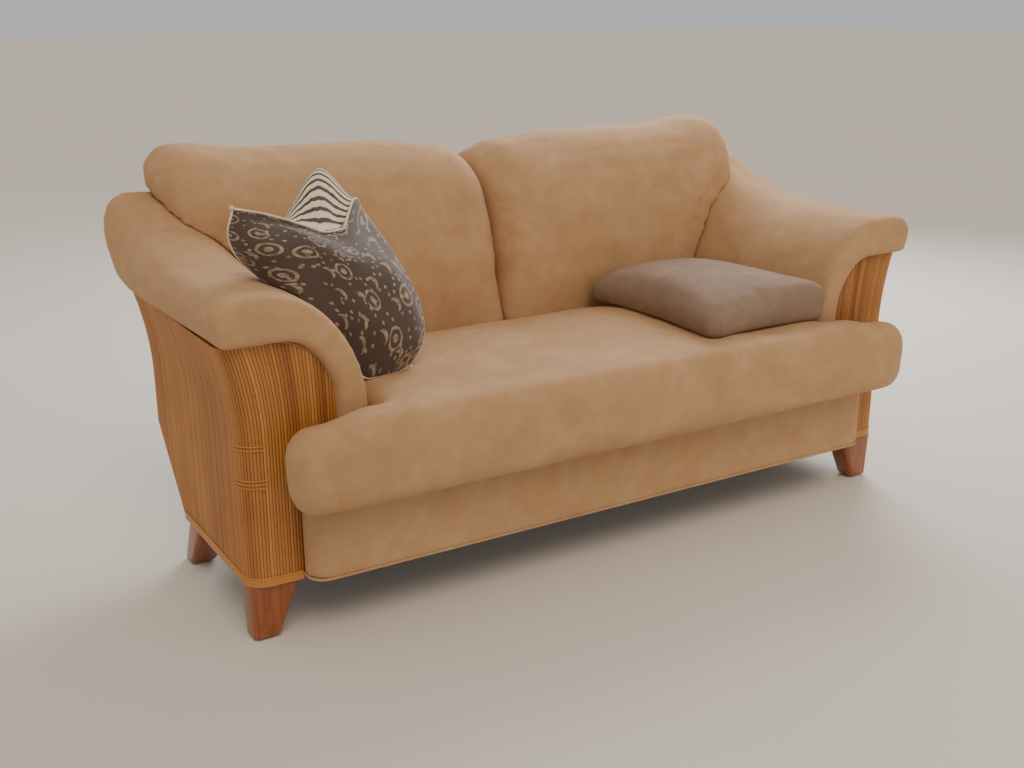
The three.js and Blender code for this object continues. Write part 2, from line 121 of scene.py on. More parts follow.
def along(points: Sequence[Vector], share: float) -> Vector:
    """Gives a point of a smooth curve through evenly spaced points.

    Args:
        points: The curve's points.
        share: How far along the curve, from nought to one.

    Returns:
        The point.
    """
    last = len(points) - 1
    start = min(int(share * last), last - 1)
    near, far = points[start], points[start + 1]
    before = points[start - 1] if start > 0 else 2 * near - far
    after = points[start + 2] if start + 2 <= last else 2 * far - near
    knees = (near, near + (far - before) / 6, far - (after - near) / 6, far)
    t = share * last - start
    first, second, third = (knees[i].lerp(knees[i + 1], t) for i in range(3))
    return first.lerp(second, t).lerp(second.lerp(third, t), t)


def arc(centre: Vector, radius: float, start: float, end: float, steps: int) -> list[Vector]:
    """Gives evenly spaced points of an arc in a level plane.

    Args:
        centre: Its centre.
        radius: Its radius.
        start: Where it starts, in quarter turns from +X towards +Y.
        end: Where it ends.
        steps: The steps between its points.

    Returns:
        The points, with both ends.
    """
    turns = (math.pi / 2 * (start + (end - start) * step / steps) for step in range(steps + 1))
    return [centre + Vector((math.cos(turn), math.sin(turn), 0)) * radius for turn in turns]


# Finishes


def linear(code: str) -> tuple[float, float, float, float]:
    """Turns an sRGB hex colour into linear values.

    Args:
        code: Six hex digits.

    Returns:
        Red, green, blue and an alpha of one.
    """
    parts = [int(code[i : i + 2], 16) / 255 for i in (0, 2, 4)]
    lit = [p / 12.92 if p <= 0.04045 else ((p + 0.055) / 1.055) ** 2.4 for p in parts]
    return (lit[0], lit[1], lit[2], 1.0)


def add_node(
    tree: NodeTree,
    kind: str,
    settings: dict[str | int, Any] | None = None,
    links: dict[str | int, Any] | None = None,
) -> Node:
    """Adds one node to a material.

    Args:
        tree: The material's node tree.
        kind: The node's type name without its ShaderNode prefix.
        settings: Values by the name of a property of the node, or by the name or place of an input.
            A value named ramp is a list of positions and hex colours.
        links: Output sockets by the name or place of the input that each of them feeds.

    Returns:
        The new node.
    """
    node = tree.nodes.new("ShaderNode" + kind)
    for name, value in (settings or {}).items():
        if name == "ramp":
            stops = node.color_ramp.elements
            while len(stops) < len(value):
                stops.new(0.5)
            for stop, (place, code) in zip(stops, value):
                stop.position = place
                stop.color = linear(code)
        elif isinstance(name, str) and hasattr(node, name):
            setattr(node, name, value)
        else:
            node.inputs[name].default_value = value
    for name, socket in (links or {}).items():
        tree.links.new(socket, node.inputs[name])
    return node


def toned(
    tree: NodeTree,
    base: NodeSocket,
    finer: Sequence[tuple[NodeSocket, float]],
    tones: Pair,
    colours: Colours,
) -> NodeSocket:
    """Colours a surface by a pattern with finer ones added to it.

    Args:
        tree: The material's node tree.
        base: The main pattern.
        finer: Each finer pattern, with how much it counts beside the main one.
        tones: The sums that give the first colour and the last.
        colours: The colours, with their places between nought and one.

    Returns:
        The socket with the colour.
    """
    total = base
    for pattern, share in finer:
        weighed = {"operation": "MULTIPLY_ADD", 1: share}
        total = add_node(tree, "Math", weighed, {0: pattern, 2: total}).outputs[0]
    shade = add_node(tree, "MapRange", {"From Min": tones[0], "From Max": tones[1]}, {"Value": total})
    return add_node(tree, "ValToRGB", {"ramp": colours}, {"Fac": shade.outputs["Result"]}).outputs["Color"]


def surfaced(
    tree: NodeTree,
    shader: Node,
    colour: NodeSocket,
    reliefs: Sequence[tuple[NodeSocket, float]],
    values: dict[str, Any],
    strength: float,
) -> None:
    """Gives a material's shader its colour, its relief and its other values.

    Args:
        tree: The material's node tree.
        shader: Its principled shader.
        colour: The socket with the colour.
        reliefs: Each raised pattern with its height in millimetres, the coarsest first.
        values: The shader's other values by the names of its sockets.
        strength: How strongly the patterns tilt the surface.
    """
    links = {"Base Color": colour}
    for pattern, height_mm in reliefs:
        raised = {"Strength": strength, "Distance": height_mm * MM}
        beneath = {"Normal": links["Normal"]} if "Normal" in links else {}
        bump = add_node(tree, "Bump", raised, {"Height": pattern, **beneath})
        links["Normal"] = bump.outputs["Normal"]
    for name, socket in links.items():
        tree.links.new(socket, shader.inputs[name])
    for name, value in values.items():
        shader.inputs[name].default_value = value


@dataclass(frozen=True)
class Finish:
    """A finish: a named material and how it is made."""

    name: str

    def material(self) -> Material:
        """Makes the material once and gives it back after that.

        Returns:
            The finish as a Blender material.
        """
        made = bpy.data.materials.get(self.name)
        if made is None:
            made = bpy.data.materials.new(self.name)
            made.use_nodes = True
            tree = made.node_tree
            tree.nodes.clear()
            shader = add_node(tree, "BsdfPrincipled")
            add_node(tree, "OutputMaterial", links={"Surface": shader.outputs["BSDF"]})
            self.dress(tree, shader)
        return made

    def dress(self, tree: NodeTree, shader: Node) -> None:
        """Adds this finish's own nodes.

        Args:
            tree: The material's node tree.
            shader: Its principled shader.
        """
        raise NotImplementedError


@dataclass(frozen=True)
class Velour(Finish):
    """Polyester velour: a short cut pile that lies this way and that, so it shows light and dark patches.

    Attributes:
        dark: The colour where the pile leans away from the light.
        middle: The colour of most of it.
        light: The colour where it leans towards the light.
        patch_mm: The size of the patches.
        stroke_mm: The size of the strokes that hands leave in it.
        stroke_share: How much the strokes count beside the patches.
        stroke_high_mm: How high a stroke stands.
        pile_mm: The size of a tuft.
        pile_share: How much the tufts count beside the patches.
        pile_high_mm: How high a tuft stands.
        tones: The sums of the three that give the dark colour and the light one.
        sheen: The pale bloom where the surface turns away.
    """

    dark: str
    middle: str
    light: str
    patch_mm: float = 120.0
    stroke_mm: float = 28.0
    stroke_share: float = 0.45
    stroke_high_mm: float = 2.5
    # The real pile is about 0.5 mm, too fine to show; it is drawn three times as coarse
    pile_mm: float = 1.6
    pile_share: float = 0.3
    pile_high_mm: float = 0.6
    tones: Pair = (0.38, 1.37)
    sheen: float = 0.25

    def dress(self, tree: NodeTree, shader: Node) -> None:
        """Adds the pile's patches, strokes and grain.

        Args:
            tree: The material's node tree.
            shader: Its principled shader.
        """
        place = add_node(tree, "TexCoord").outputs["Object"]
        patterns = (
            {"Scale": 1 / (self.patch_mm * MM), "Detail": 3.0, "Roughness": 0.6, "Distortion": 0.8},
            {"Scale": 1 / (self.stroke_mm * MM), "Detail": 2.0},
            {"Scale": 1 / (self.pile_mm * MM), "Detail": 1.0},
        )
        patch, stroke, pile = (
            add_node(tree, "TexNoise", pattern, {"Vector": place}).outputs["Fac"] for pattern in patterns
        )
        finer = ((stroke, self.stroke_share), (pile, self.pile_share))
        colours = ((0.0, self.dark), (0.5, self.middle), (1.0, self.light))
        colour = toned(tree, patch, finer, self.tones, colours)
        reliefs = ((stroke, self.stroke_high_mm), (pile, self.pile_high_mm))
        values = {
            "Roughness": 0.92,
            "Sheen Weight": self.sheen,
            "Sheen Roughness": 0.45,
            "Sheen Tint": linear(self.light),
        }
        surfaced(tree, shader, colour, reliefs, values, strength=0.35)


@dataclass(frozen=True)
class SplitReed(Finish):
    """Split rattan under a satin lacquer: each reed its own honey tone, with fine dark pores along it.

    A sheet of reeds has an attribute named tone, which is a reed's own, and one named valley, which
    is one between two reeds.

    Attributes:
        lay: Which way the reeds run.
        low: The streaked tone that gets the darkest colour.
        span: How far above it the lightest colour lies.
        honey: The colours from a dark reed to a light one.
        dirt: The painted shade that darkens each reed from its crest to the valley beside it.
        pore_mm: The width of a pore.
        pore_share: How much the pores count beside a reed's own tone.
        pore_deep_mm: How deep a pore is.
        patch_mm: The size of the slow change of tone that sunlight leaves.
        patch_share: How much that change counts.
        joint_mm: How far apart the joints of a reed are, or nought for none.
        joint_half_mm: Half the height of a joint's mark.
        joint_shift: How far a reed's tone moves its joints, in their distance apart.
        joint_colour: The colour of a joint.
        joint_share: How strongly it shows.
    """

    lay: Lay = Lay.UPRIGHT
    low: float = 0.4
    span: float = 1.1
    honey: Colours = ((0.0, "804C20"), (0.35, "A2662E"), (0.7, "BC7E3C"), (1.0, "D09754"))
    # Painted shade: each reed darkens towards the valley between it and the next, where shade falls
    dirt: Colours = ((0.0, "FFFFFF"), (0.45, "FFFFFF"), (1.0, "6B5444"))
    # The real pores are about 0.3 mm wide; they are drawn as coarse as they need to be to show
    pore_mm: float = 1.1
    pore_share: float = 0.4
    pore_deep_mm: float = 0.4
    patch_mm: float = 160.0
    patch_share: float = 0.55
    joint_mm: float = 0.0
    joint_half_mm: float = 2.2
    joint_shift: float = 11.0
    joint_colour: str = "5A3312"
    joint_share: float = 0.18

    def dress(self, tree: NodeTree, shader: Node) -> None:
        """Adds the reeds' tones, their pores and the painted shade in the valleys between them.

        Args:
            tree: The material's node tree.
            shader: Its principled shader.
        """
        place = add_node(tree, "TexCoord").outputs["Object"]
        tone, valley = (
            add_node(tree, "Attribute", {"attribute_name": name}).outputs["Fac"]
            for name in ("tone", "valley")
        )
        stretched = add_node(tree, "Mapping", {"Scale": self.lay.value}, {"Vector": place})
        pores = add_node(
            tree,
            "TexNoise",
            {"Scale": 1 / (self.pore_mm * MM), "Detail": 3.0, "Roughness": 0.65},
            {"Vector": stretched.outputs["Vector"]},
        ).outputs["Fac"]
        patch = add_node(
            tree,
            "TexNoise",
            {"Scale": 1 / (self.patch_mm * MM), "Detail": 2.0, "Distortion": 0.5},
            {"Vector": place},
        ).outputs["Fac"]
        finer = ((patch, self.patch_share), (pores, self.pore_share))
        unshaded = toned(tree, tone, finer, (self.low, self.low + self.span), self.honey)
        # Painted shade in the valleys between the reeds, multiplied over their own colour
        dirt = add_node(tree, "ValToRGB", {"ramp": self.dirt}, {"Fac": valley})
        colour = add_node(
            tree,
            "Mix",
            {"data_type": "RGBA", "blend_type": "MULTIPLY", 0: 1.0},
            {6: unshaded, 7: dirt.outputs["Color"]},
        ).outputs[2]
        if self.joint_mm:
            colour = self.jointed(tree, colour, place, tone)
        values = {
            "Roughness": 0.5,
            "Specular IOR Level": 0.3,
            "Coat Weight": 0.1,
            "Coat Roughness": 0.25,
        }
        surfaced(tree, shader, colour, ((pores, self.pore_deep_mm),), values, strength=0.3)

    def jointed(self, tree: NodeTree, colour: NodeSocket, place: NodeSocket, tone: NodeSocket) -> NodeSocket:
        """Darkens each reed where the cane had a joint, at a height of its own.

        Args:
            tree: The material's node tree.
            colour: The reeds' colour.
            place: The object coordinates.
            tone: The attribute that differs from reed to reed.

        Returns:
            The colour with the joints.
        """
        apart = self.joint_mm * MM
        height = add_node(tree, "SeparateXYZ", links={"Vector": place}).outputs["Z"]
        shift = {"operation": "MULTIPLY", 1: self.joint_shift}
        own = add_node(tree, "Math", shift, {0: tone}).outputs[0]
        joints = {"operation": "MULTIPLY_ADD", 1: 1 / apart}
        turns = add_node(tree, "Math", joints, {0: height, 2: own}).outputs[0]
        share = add_node(tree, "Math", {"operation": "FRACT"}, {0: turns}).outputs[0]
        middle = {"operation": "COMPARE", 1: 0.5, 2: self.joint_half_mm * MM / apart}
        mark = add_node(tree, "Math", middle, {0: share}).outputs[0]
        faint = {"operation": "MULTIPLY", 1: self.joint_share}
        weight = add_node(tree, "Math", faint, {0: mark}).outputs[0]
        darker = {"data_type": "RGBA", 7: linear(self.joint_colour)}
        return add_node(tree, "Mix", darker, {0: weight, 6: colour}).outputs[2]


@dataclass(frozen=True)
class Timber(Finish):
    """Wood with its grain along z or x: early wood and late wood in soft bands, with fine pores.

    Attributes:
        dark: The colour of the late wood.
        light: The colour of the early wood.
        roughness: How matt the surface is.
        coat: How much varnish lies on it.
        lay: Which way the grain runs.
        ring_mm: The width of a year's ring.
        pore_mm: The width of a pore.
        pore_share: How much the pores count beside the rings.
        pore_deep_mm: How deep a pore is.
        tones: The sums of the two that give the dark colour and the light one.
    """

    dark: str
    light: str
    roughness: float
    coat: float
    lay: Lay = Lay.UPRIGHT
    ring_mm: float = 7.0
    # The real pores are about 0.1 mm wide; they are drawn as coarse as they need to be to show
    pore_mm: float = 0.9
    pore_share: float = 0.45
    pore_deep_mm: float = 0.4
    tones: Pair = (0.45, 1.0)

    def dress(self, tree: NodeTree, shader: Node) -> None:
        """Adds the bands and the pores.

        Args:
            tree: The material's node tree.
            shader: Its principled shader.
        """
        place = add_node(tree, "TexCoord").outputs["Object"]
        stretched = add_node(tree, "Mapping", {"Scale": self.lay.value}, {"Vector": place}).outputs["Vector"]
        patterns = (
            {"Scale": 1 / (self.ring_mm * MM), "Detail": 2.0, "Distortion": 1.2},
            {"Scale": 1 / (self.pore_mm * MM), "Detail": 2.0, "Roughness": 0.7},
        )
        rings, pores = (
            add_node(tree, "TexNoise", pattern, {"Vector": stretched}).outputs["Fac"] for pattern in patterns
        )
        colours = ((0.0, self.dark), (1.0, self.light))
        colour = toned(tree, rings, ((pores, self.pore_share),), self.tones, colours)
        values = {"Roughness": self.roughness, "Coat Weight": self.coat, "Coat Roughness": 0.2}
        surfaced(tree, shader, colour, ((pores, self.pore_deep_mm),), values, strength=0.2)


@dataclass(frozen=True)
class PlainCloth(Finish):
    """A plain matt cloth or plastic: one colour with a fine fleck and a slight unevenness.

    Attributes:
        dark: The darker colour of the fleck.
        light: The lighter one.
        roughness: How matt the surface is.
        fleck_mm: The size of a fleck.
        fleck_share: How much the flecks count beside the unevenness.
        fleck_high_mm: How high a fleck stands.
        patch_mm: The size of the uneven patches.
        tones: The sums of the two that give the dark colour and the light one.
        sheen: The pale bloom where the surface turns away.
    """

    dark: str
    light: str
    roughness: float = 0.9
    fleck_mm: float = 1.4
    fleck_share: float = 0.5
    fleck_high_mm: float = 0.6
    patch_mm: float = 70.0
    tones: Pair = (0.5, 1.0)
    sheen: float = 0.2

    def dress(self, tree: NodeTree, shader: Node) -> None:
        """Adds the fleck and the unevenness.

        Args:
            tree: The material's node tree.
            shader: Its principled shader.
        """
        place = add_node(tree, "TexCoord").outputs["Object"]
        patterns = (
            {"Scale": 1 / (self.patch_mm * MM), "Detail": 2.0},
            {"Scale": 1 / (self.fleck_mm * MM), "Detail": 1.0},
        )
        patch, fleck = (
            add_node(tree, "TexNoise", pattern, {"Vector": place}).outputs["Fac"] for pattern in patterns
        )
        colours = ((0.0, self.dark), (1.0, self.light))
        colour = toned(tree, patch, ((fleck, self.fleck_share),), self.tones, colours)
        values = {"Roughness": self.roughness, "Sheen Weight": self.sheen}
        surfaced(tree, shader, colour, ((fleck, self.fleck_high_mm),), values, strength=0.35)


@dataclass(frozen=True)
class SewnSheet(Finish):
    """A woven cotton sheet whose pattern is read from its own UV map, so that it follows the cloth.

    Attributes:
        ground: The colour of the cloth.
        ink: The colour of what is printed on it.
        sheen: The pale bloom where the surface turns away.
        threads: Pairs of threads across the sheet.
        thread_high_mm: How high a thread stands.
    """

    ground: str
    ink: str
    sheen: float
    # The real threads are about 0.4 mm apart; they are drawn at 1.2 mm so that they show
    threads: float = 330.0
    thread_high_mm: float = 0.4

    def dress(self, tree: NodeTree, shader: Node) -> None:
        """Adds the print and the weave.

        Args:
            tree: The material's node tree.
            shader: Its principled shader.
        """
        place = add_node(tree, "UVMap", {"uv_map": "cloth"}).outputs["UV"]
        weave = add_node(tree, "TexChecker", {"Scale": self.threads}, {"Vector": place}).outputs["Fac"]
        colour = self.printed(tree, place)
        values = {"Roughness": 0.85, "Sheen Weight": self.sheen}
        surfaced(tree, shader, colour, ((weave, self.thread_high_mm),), values, strength=0.25)

    def printed(self, tree: NodeTree, place: NodeSocket) -> NodeSocket:
        """Adds the print.

        Args:
            tree: The material's node tree.
            place: The place on the sheet.

        Returns:
            The socket with the cloth's colour.
        """
        raise NotImplementedError


@dataclass(frozen=True)
class PrintedCloth(SewnSheet):
    """Dark cotton printed with light rings and crescents, one to a cell, and with dots between them.

    Attributes:
        repeat: Cells across the sheet.
        scatter: How far a cell lies off an even grid.
        ring: The radius of a ring, in cells.
        line: Half the width of its line, in cells.
        eye: The radius of the dot in it, in rings.
        moon: The radius of a crescent, in rings.
        bite: How far off the disc lies that is cut out of it, in cells.
        ring_lot: A cell whose lot is lower has a ring.
        moon_lot: A cell whose lot is higher has a crescent.
        fineness: The dots' cells for each large one, along the sheet's side.
        dot: The radius of a dot, in its own cells.
        dot_lot: A small cell whose lot is higher has a dot.
        patches: Worn patches across the sheet.
        wear: The patches' values between which the print goes from thin to full.
        cover: How well the print covers where it is thin, and where it is full.
    """

    repeat: float = 7.4
    scatter: float = 0.75
    ring: float = 0.34
    line: float = 0.05
    eye: float = 0.4
    moon: float = 0.75
    bite: Pair = (0.15, 0.11)
    ring_lot: float = 0.48
    moon_lot: float = 0.54
    fineness: float = 2.6
    dot: float = 0.17
    dot_lot: float = 0.3
    patches: float = 34.0
    wear: Pair = (0.3, 0.65)
    cover: Pair = (0.2, 0.82)

    def printed(self, tree: NodeTree, place: NodeSocket) -> NodeSocket:
        """Adds the print, worn thin in places.

        Args:
            tree: The material's node tree.
            place: The place on the sheet.

        Returns:
            The socket with the cloth's colour.
        """
        bite = {"operation": "ADD", 1: (self.bite[0] / self.repeat, self.bite[1] / self.repeat, 0.0)}
        bitten = add_node(tree, "VectorMath", bite, {0: place}).outputs["Vector"]
        large = {"voronoi_dimensions": "2D", "Scale": self.repeat, "Randomness": self.scatter}
        small = {"voronoi_dimensions": "2D", "Scale": self.repeat * self.fineness, "Randomness": 1.0}
        made = {}
        for name, form, at in (("large", large, place), ("bitten", large, bitten), ("small", small, place)):
            cells = add_node(tree, "TexVoronoi", form, {"Vector": at})
            made[name] = cells.outputs["Distance"]
            made[name + " colour"] = cells.outputs["Color"]
        for name in ("large", "small"):
            lot = add_node(tree, "SeparateColor", links={"Color": made[name + " colour"]})
            made[name + " lot"] = lot.outputs["Red"]
        ring = {"operation": "COMPARE", 1: self.ring, 2: self.line}
        made["ring"] = add_node(tree, "Math", ring, {0: made["large"]}).outputs[0]
        tests = (
            ("eye", "LESS_THAN", "large", self.ring * self.eye),
            ("disc", "LESS_THAN", "large", self.ring * self.moon),
            ("outside bite", "GREATER_THAN", "bitten", self.ring * self.moon),
            ("dot", "LESS_THAN", "small", self.dot),
            ("has ring", "LESS_THAN", "large lot", self.ring_lot),
            ("has moon", "GREATER_THAN", "large lot", self.moon_lot),
            ("has dot", "GREATER_THAN", "small lot", self.dot_lot),
        )
        for name, operation, measured, limit in tests:
            test = {"operation": operation, 1: limit}
            made[name] = add_node(tree, "Math", test, {0: made[measured]}).outputs[0]
        worn = add_node(tree, "TexNoise", {"Scale": self.patches, "Detail": 2.0}, {"Vector": place})
        thinned = {
            "From Min": self.wear[0],
            "From Max": self.wear[1],
            "To Min": self.cover[0],
            "To Max": self.cover[1],
        }
        made["wear"] = add_node(tree, "MapRange", thinned, {"Value": worn.outputs["Fac"]}).outputs["Result"]
        joins = (
            ("eyed ring", "MAXIMUM", "ring", "eye"),
            ("rings", "MULTIPLY", "eyed ring", "has ring"),
            ("crescent", "MULTIPLY", "disc", "outside bite"),
            ("moons", "MULTIPLY", "crescent", "has moon"),
            ("dots", "MULTIPLY", "dot", "has dot"),
            ("motifs", "MAXIMUM", "rings", "moons"),
            ("print", "MAXIMUM", "motifs", "dots"),
            ("worn print", "MULTIPLY", "print", "wear"),
        )
        for name, operation, first, second in joins:
            join = {"operation": operation}
            made[name] = add_node(tree, "Math", join, {0: made[first], 1: made[second]}).outputs[0]
        inks = {"data_type": "RGBA", 6: linear(self.ground), 7: linear(self.ink)}
        return add_node(tree, "Mix", inks, {0: made["worn print"]}).outputs[2]


@dataclass(frozen=True)
class StripedCloth(SewnSheet):
    """Light cotton with uneven dark stripes.

    Attributes:
        stripes: Stripes across the sheet.
        waver: How unevenly they run.
        edge: The wave's values where a stripe ends and where the bare cloth starts.
    """

    stripes: float = 42.0
    waver: float = 1.4
    edge: Pair = (0.3, 0.42)

    def printed(self, tree: NodeTree, place: NodeSocket) -> NodeSocket:
        """Adds the stripes.

        Args:
            tree: The material's node tree.
            place: The place on the sheet.

        Returns:
            The socket with the cloth's colour.
        """
        waves = {
            "bands_direction": "Y",
            "Scale": self.stripes * math.tau / WAVE_TURNS,
            "Distortion": self.waver,
            "Detail": 1.0,
            "Detail Scale": 1.2,
        }
        bands = add_node(tree, "TexWave", waves, {"Vector": place}).outputs["Fac"]
        colours = ((self.edge[0], self.ink), (self.edge[1], self.ground))
        return add_node(tree, "ValToRGB", {"ramp": colours}, {"Fac": bands}).outputs["Color"]


# Cut polyester pile: soft clouds of light and dark, with a pale bloom where a form turns away
VELOUR = Velour("sand_velour", "A98057", "B88F65", "C7A178")
# Cotton brushed on one side: smaller and greyer clouds, quite matt
TAUPE = Velour("taupe_brushed_cotton", "7C624C", "8A705A", "987E68", patch_mm=60.0)
# Rattan split lengthwise and lacquered: honey ridges, each unlike the next, with a soft gloss
REED = SplitReed("lacquered_split_reed", joint_mm=190.0)
# Rattan skin glued flat under the reeds: one even tone with fine upright pores
BACKING = SplitReed("rattan_backing", low=-0.1)
# Cane peeled for wrapping: one even tone, with its pores along the turns
WRAP = SplitReed("lacquered_wrapping_cane", Lay.ACROSS, low=-0.25)
# Beech stained and varnished: red brown, with a fine upright grain under a clear gloss
FOOT_WOOD = Timber("stained_beech", "74391B", "A05C30", roughness=0.38, coat=0.3)
# Pine as it comes from the saw: pale and dull, with bands along the rail
RAIL_WOOD = Timber("sawn_pine", "A98352", "CBA876", roughness=0.8, coat=0.0, lay=Lay.ACROSS)
# Spun lining: a dull black with a slight fleck
BLACK_CLOTH = PlainCloth("black_lining_cloth", "101012", "1E1E21")
# Moulded polythene: a half matt dark grey, nearly even
GLIDE_PLASTIC = PlainCloth("grey_polythene", "3A3A3A", "4A4A4A", 0.5, fleck_mm=3.0, patch_mm=20.0, sheen=0.0)
# Twisted cotton: cream and matt, with the fleck of its twist
CREAM_CORD = PlainCloth("cream_cotton_cord", "C4AF8C", "E4D5B6", 0.8, fleck_mm=1.2, patch_mm=30.0)
# Cotton printed by screen: a matt dark ground with lighter motifs, worn thin in places
PRINT = PrintedCloth("printed_cotton", "4E3C31", "B29C7F", sheen=0.15)
# Cotton printed in stripes: matt, with edges that waver
STRIPES = StripedCloth("striped_cotton", "D8C8A8", "4B382C", sheen=0.0)
# A floor painted matt: pale and even
FLOOR = PlainCloth("pale_floor", "DBD2C5", "DED6CA", 0.9, fleck_mm=4.0, patch_mm=900.0, sheen=0.0)


# Making and placing meshes


def bend(bm: bmesh.types.BMesh, rule: Rule) -> None:
    """Moves every vertex by a rule.

    Args:
        bm: The mesh that is shaped.
        rule: Gives a vertex's new place from its old one.
    """
    for vert in bm.verts:
        vert.co = rule(vert.co.copy())


def to_object(bm: bmesh.types.BMesh, name: str) -> Object:
    """Turns a bmesh into an object with smooth faces and frees the bmesh.

    Args:
        bm: The finished mesh.
        name: The piece's name.

    Returns:
        The object, linked to the scene at the origin.
    """
    mesh = bpy.data.meshes.new(name)
    for face in bm.faces:
        face.smooth = True
    bm.to_mesh(mesh)
    bm.free()
    piece = bpy.data.objects.new(name, mesh)
    bpy.context.scene.collection.objects.link(piece)
    return piece


def settle(piece: Object, finish: Finish | None, nodes: Sequence[str] = ()) -> Object:
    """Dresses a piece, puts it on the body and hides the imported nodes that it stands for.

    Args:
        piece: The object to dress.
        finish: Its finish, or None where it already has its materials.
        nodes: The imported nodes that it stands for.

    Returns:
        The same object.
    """
    if finish is not None:
        piece.data.materials.clear()
        piece.data.materials.append(finish.material())
    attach(piece, "root")
    if nodes:
        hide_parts(*nodes)
    LOG.info("%s: %d faces", piece.name, len(piece.data.polygons))
    return piece


def from_node(node: str) -> bmesh.types.BMesh:
    """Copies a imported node's mesh with its loose triangles merged.

    Args:
        node: The node's name.

    Returns:
        A closed bmesh.
    """
    bm = bmesh.new()
    bm.from_mesh(bpy.data.objects[node].data)
    bmesh.ops.remove_doubles(bm, verts=bm.verts, dist=WELD)
    return bm


def mirror_across(bm: bmesh.types.BMesh) -> None:
    """Turns a right-hand mesh into a left-hand one with its faces outwards."""
    bend(bm, lambda co: Vector((-co.x, co.y, co.z)))
    bmesh.ops.reverse_faces(bm, faces=bm.faces)


def modified(piece: Object) -> bpy.types.Mesh:
    """Gives the mesh that a piece's modifiers make, as a new mesh."""
    graph = bpy.context.evaluated_depsgraph_get()
    return bpy.data.meshes.new_from_object(piece.evaluated_get(graph))


def cord_along(name: str, paths: Sequence[Sequence[Vector]], radius: float, closed: bool = False) -> Object:
    """Makes a round cord along one or more paths.

    Args:
        name: The piece's name.
        paths: The points of each path.
        radius: The cord's radius.
        closed: Whether each path is a ring.

    Returns:
        The cord as a mesh object.
    """
    curve = bpy.data.curves.new(name, "CURVE")
    curve.dimensions = "3D"
    curve.bevel_depth = radius
    curve.bevel_resolution = CORD_RINGS
    curve.use_fill_caps = not closed
    for points in paths:
        spline = curve.splines.new("POLY")
        spline.points.add(len(points) - 1)
        spline.use_cyclic_u = closed
        for point, co in zip(spline.points, points):
            point.co = (*co, 1.0)
    holder = bpy.data.objects.new(name + ".path", curve)
    bpy.context.scene.collection.objects.link(holder)
    mesh = modified(holder)
    bpy.data.objects.remove(holder)
    bpy.data.curves.remove(curve)
    for face in mesh.polygons:
        face.use_smooth = True
    piece = bpy.data.objects.new(name, mesh)
    bpy.context.scene.collection.objects.link(piece)
    return piece


# Soft pieces


@dataclass(frozen=True)
class Room:
    """How far a filled surface may stand out from its plain solid, in millimetres, by the way it faces."""

    front: float = 0.0
    back: float = 0.0
    up: float = 0.0
    down: float = 0.0
    outer: float = 0.0
    inner: float = 0.0

    def allowance(self, normal: Vector) -> float:
        """Gives the room along a normal of a right-hand or middle piece.

        Args:
            normal: The way the surface faces, one long.

        Returns:
            How far it may stand out, in metres.
        """
        parts = (
            (self.front, -normal.y),
            (self.back, normal.y),
            (self.up, normal.z),
            (self.down, -normal.z),
            (self.outer, normal.x),
            (self.inner, -normal.x),
        )
        return MM * sum(room * max(share, 0.0) ** 2 for room, share in parts)


@dataclass(frozen=True)
class Filling:
    """How a cushion is filled out from its plain solid.

    Attributes:
        room: How far it may swell.
        voxel_mm: The size of its faces before they are divided once.
        pressure: The cloth simulation's pressure, or nought for a board that is only padded.
        rounding: How often its edges are smoothed first.
        softness: How far one smoothing goes.
        board_share: The share of its room that a padded board takes.
        quality: The simulation's steps in a frame.
        frames: The frames that it runs for.
        mass: The mass of the cloth at a vertex.
        stretch: How much the cloth resists being stretched or pressed together.
        bending: How much it resists being bent.
    """

    room: Room
    voxel_mm: float = 10.0
    pressure: float = 4.0
    rounding: int = 5
    softness: float = 0.5
    board_share: float = 0.7
    quality: int = 4
    frames: int = 18
    mass: float = 0.3
    stretch: float = 12.0
    bending: float = 0.4

    def remeshed(self, bm: bmesh.types.BMesh, name: str) -> Object:
        """Gives the solid even faces and rounds its edges.

        Args:
            bm: The plain solid, freed by this.
            name: The piece's name.

        Returns:
            The new object.
        """
        rough = to_object(bm, name + ".rough")
        remesh = rough.modifiers.new("even", "REMESH")
        remesh.mode = "VOXEL"
        remesh.voxel_size = self.voxel_mm * MM
        even = bmesh.new()
        even.from_mesh(modified(rough))
        bpy.data.objects.remove(rough)
        for _ in range(self.rounding):
            bmesh.ops.smooth_vert(
                even,
                verts=even.verts,
                factor=self.softness,
                use_axis_x=True,
                use_axis_y=True,
                use_axis_z=True,
            )
        return to_object(even, name)

    def swollen(self, piece: Object) -> list[Vector]:
        """Blows the piece up as cloth under pressure.

        Args:
            piece: The evenly meshed piece.

        Returns:
            The vertices' new places.
        """
        cloth = piece.modifiers.new("cloth", "CLOTH")
        cloth.settings.quality = self.quality
        cloth.settings.mass = self.mass
        cloth.settings.tension_stiffness = self.stretch
        cloth.settings.compression_stiffness = self.stretch
        cloth.settings.bending_stiffness = self.bending
        cloth.settings.use_pressure = True
        cloth.settings.uniform_pressure_force = self.pressure
        cloth.settings.effector_weights.gravity = 0.0
        cloth.collision_settings.use_collision = False
        scene = bpy.context.scene
        for frame in range(1, self.frames + 1):
            scene.frame_set(frame)
        graph = bpy.context.evaluated_depsgraph_get()
        places = [v.co.copy() for v in piece.evaluated_get(graph).data.vertices]
        scene.frame_set(1)
        piece.modifiers.remove(cloth)
        return places

    def fill(self, piece: Object) -> None:
        """Fills the piece out within its room.

        Args:
            piece: The evenly meshed piece, changed in place.
        """
        normals = [v.normal.copy() for v in piece.data.vertices]
        starts = [v.co.copy() for v in piece.data.vertices]
        if self.pressure == 0:
            moved = [
                co + n * self.room.allowance(n) * self.board_share for co, n in zip(starts, normals)
            ]
        else:
            moved = self.swollen(piece)
        for vert, start, end, normal in zip(piece.data.vertices, starts, moved, normals):
            room = self.room.allowance(normal)
            step = end - start
            if step.length > room:
                step *= room / step.length
            vert.co = start + step


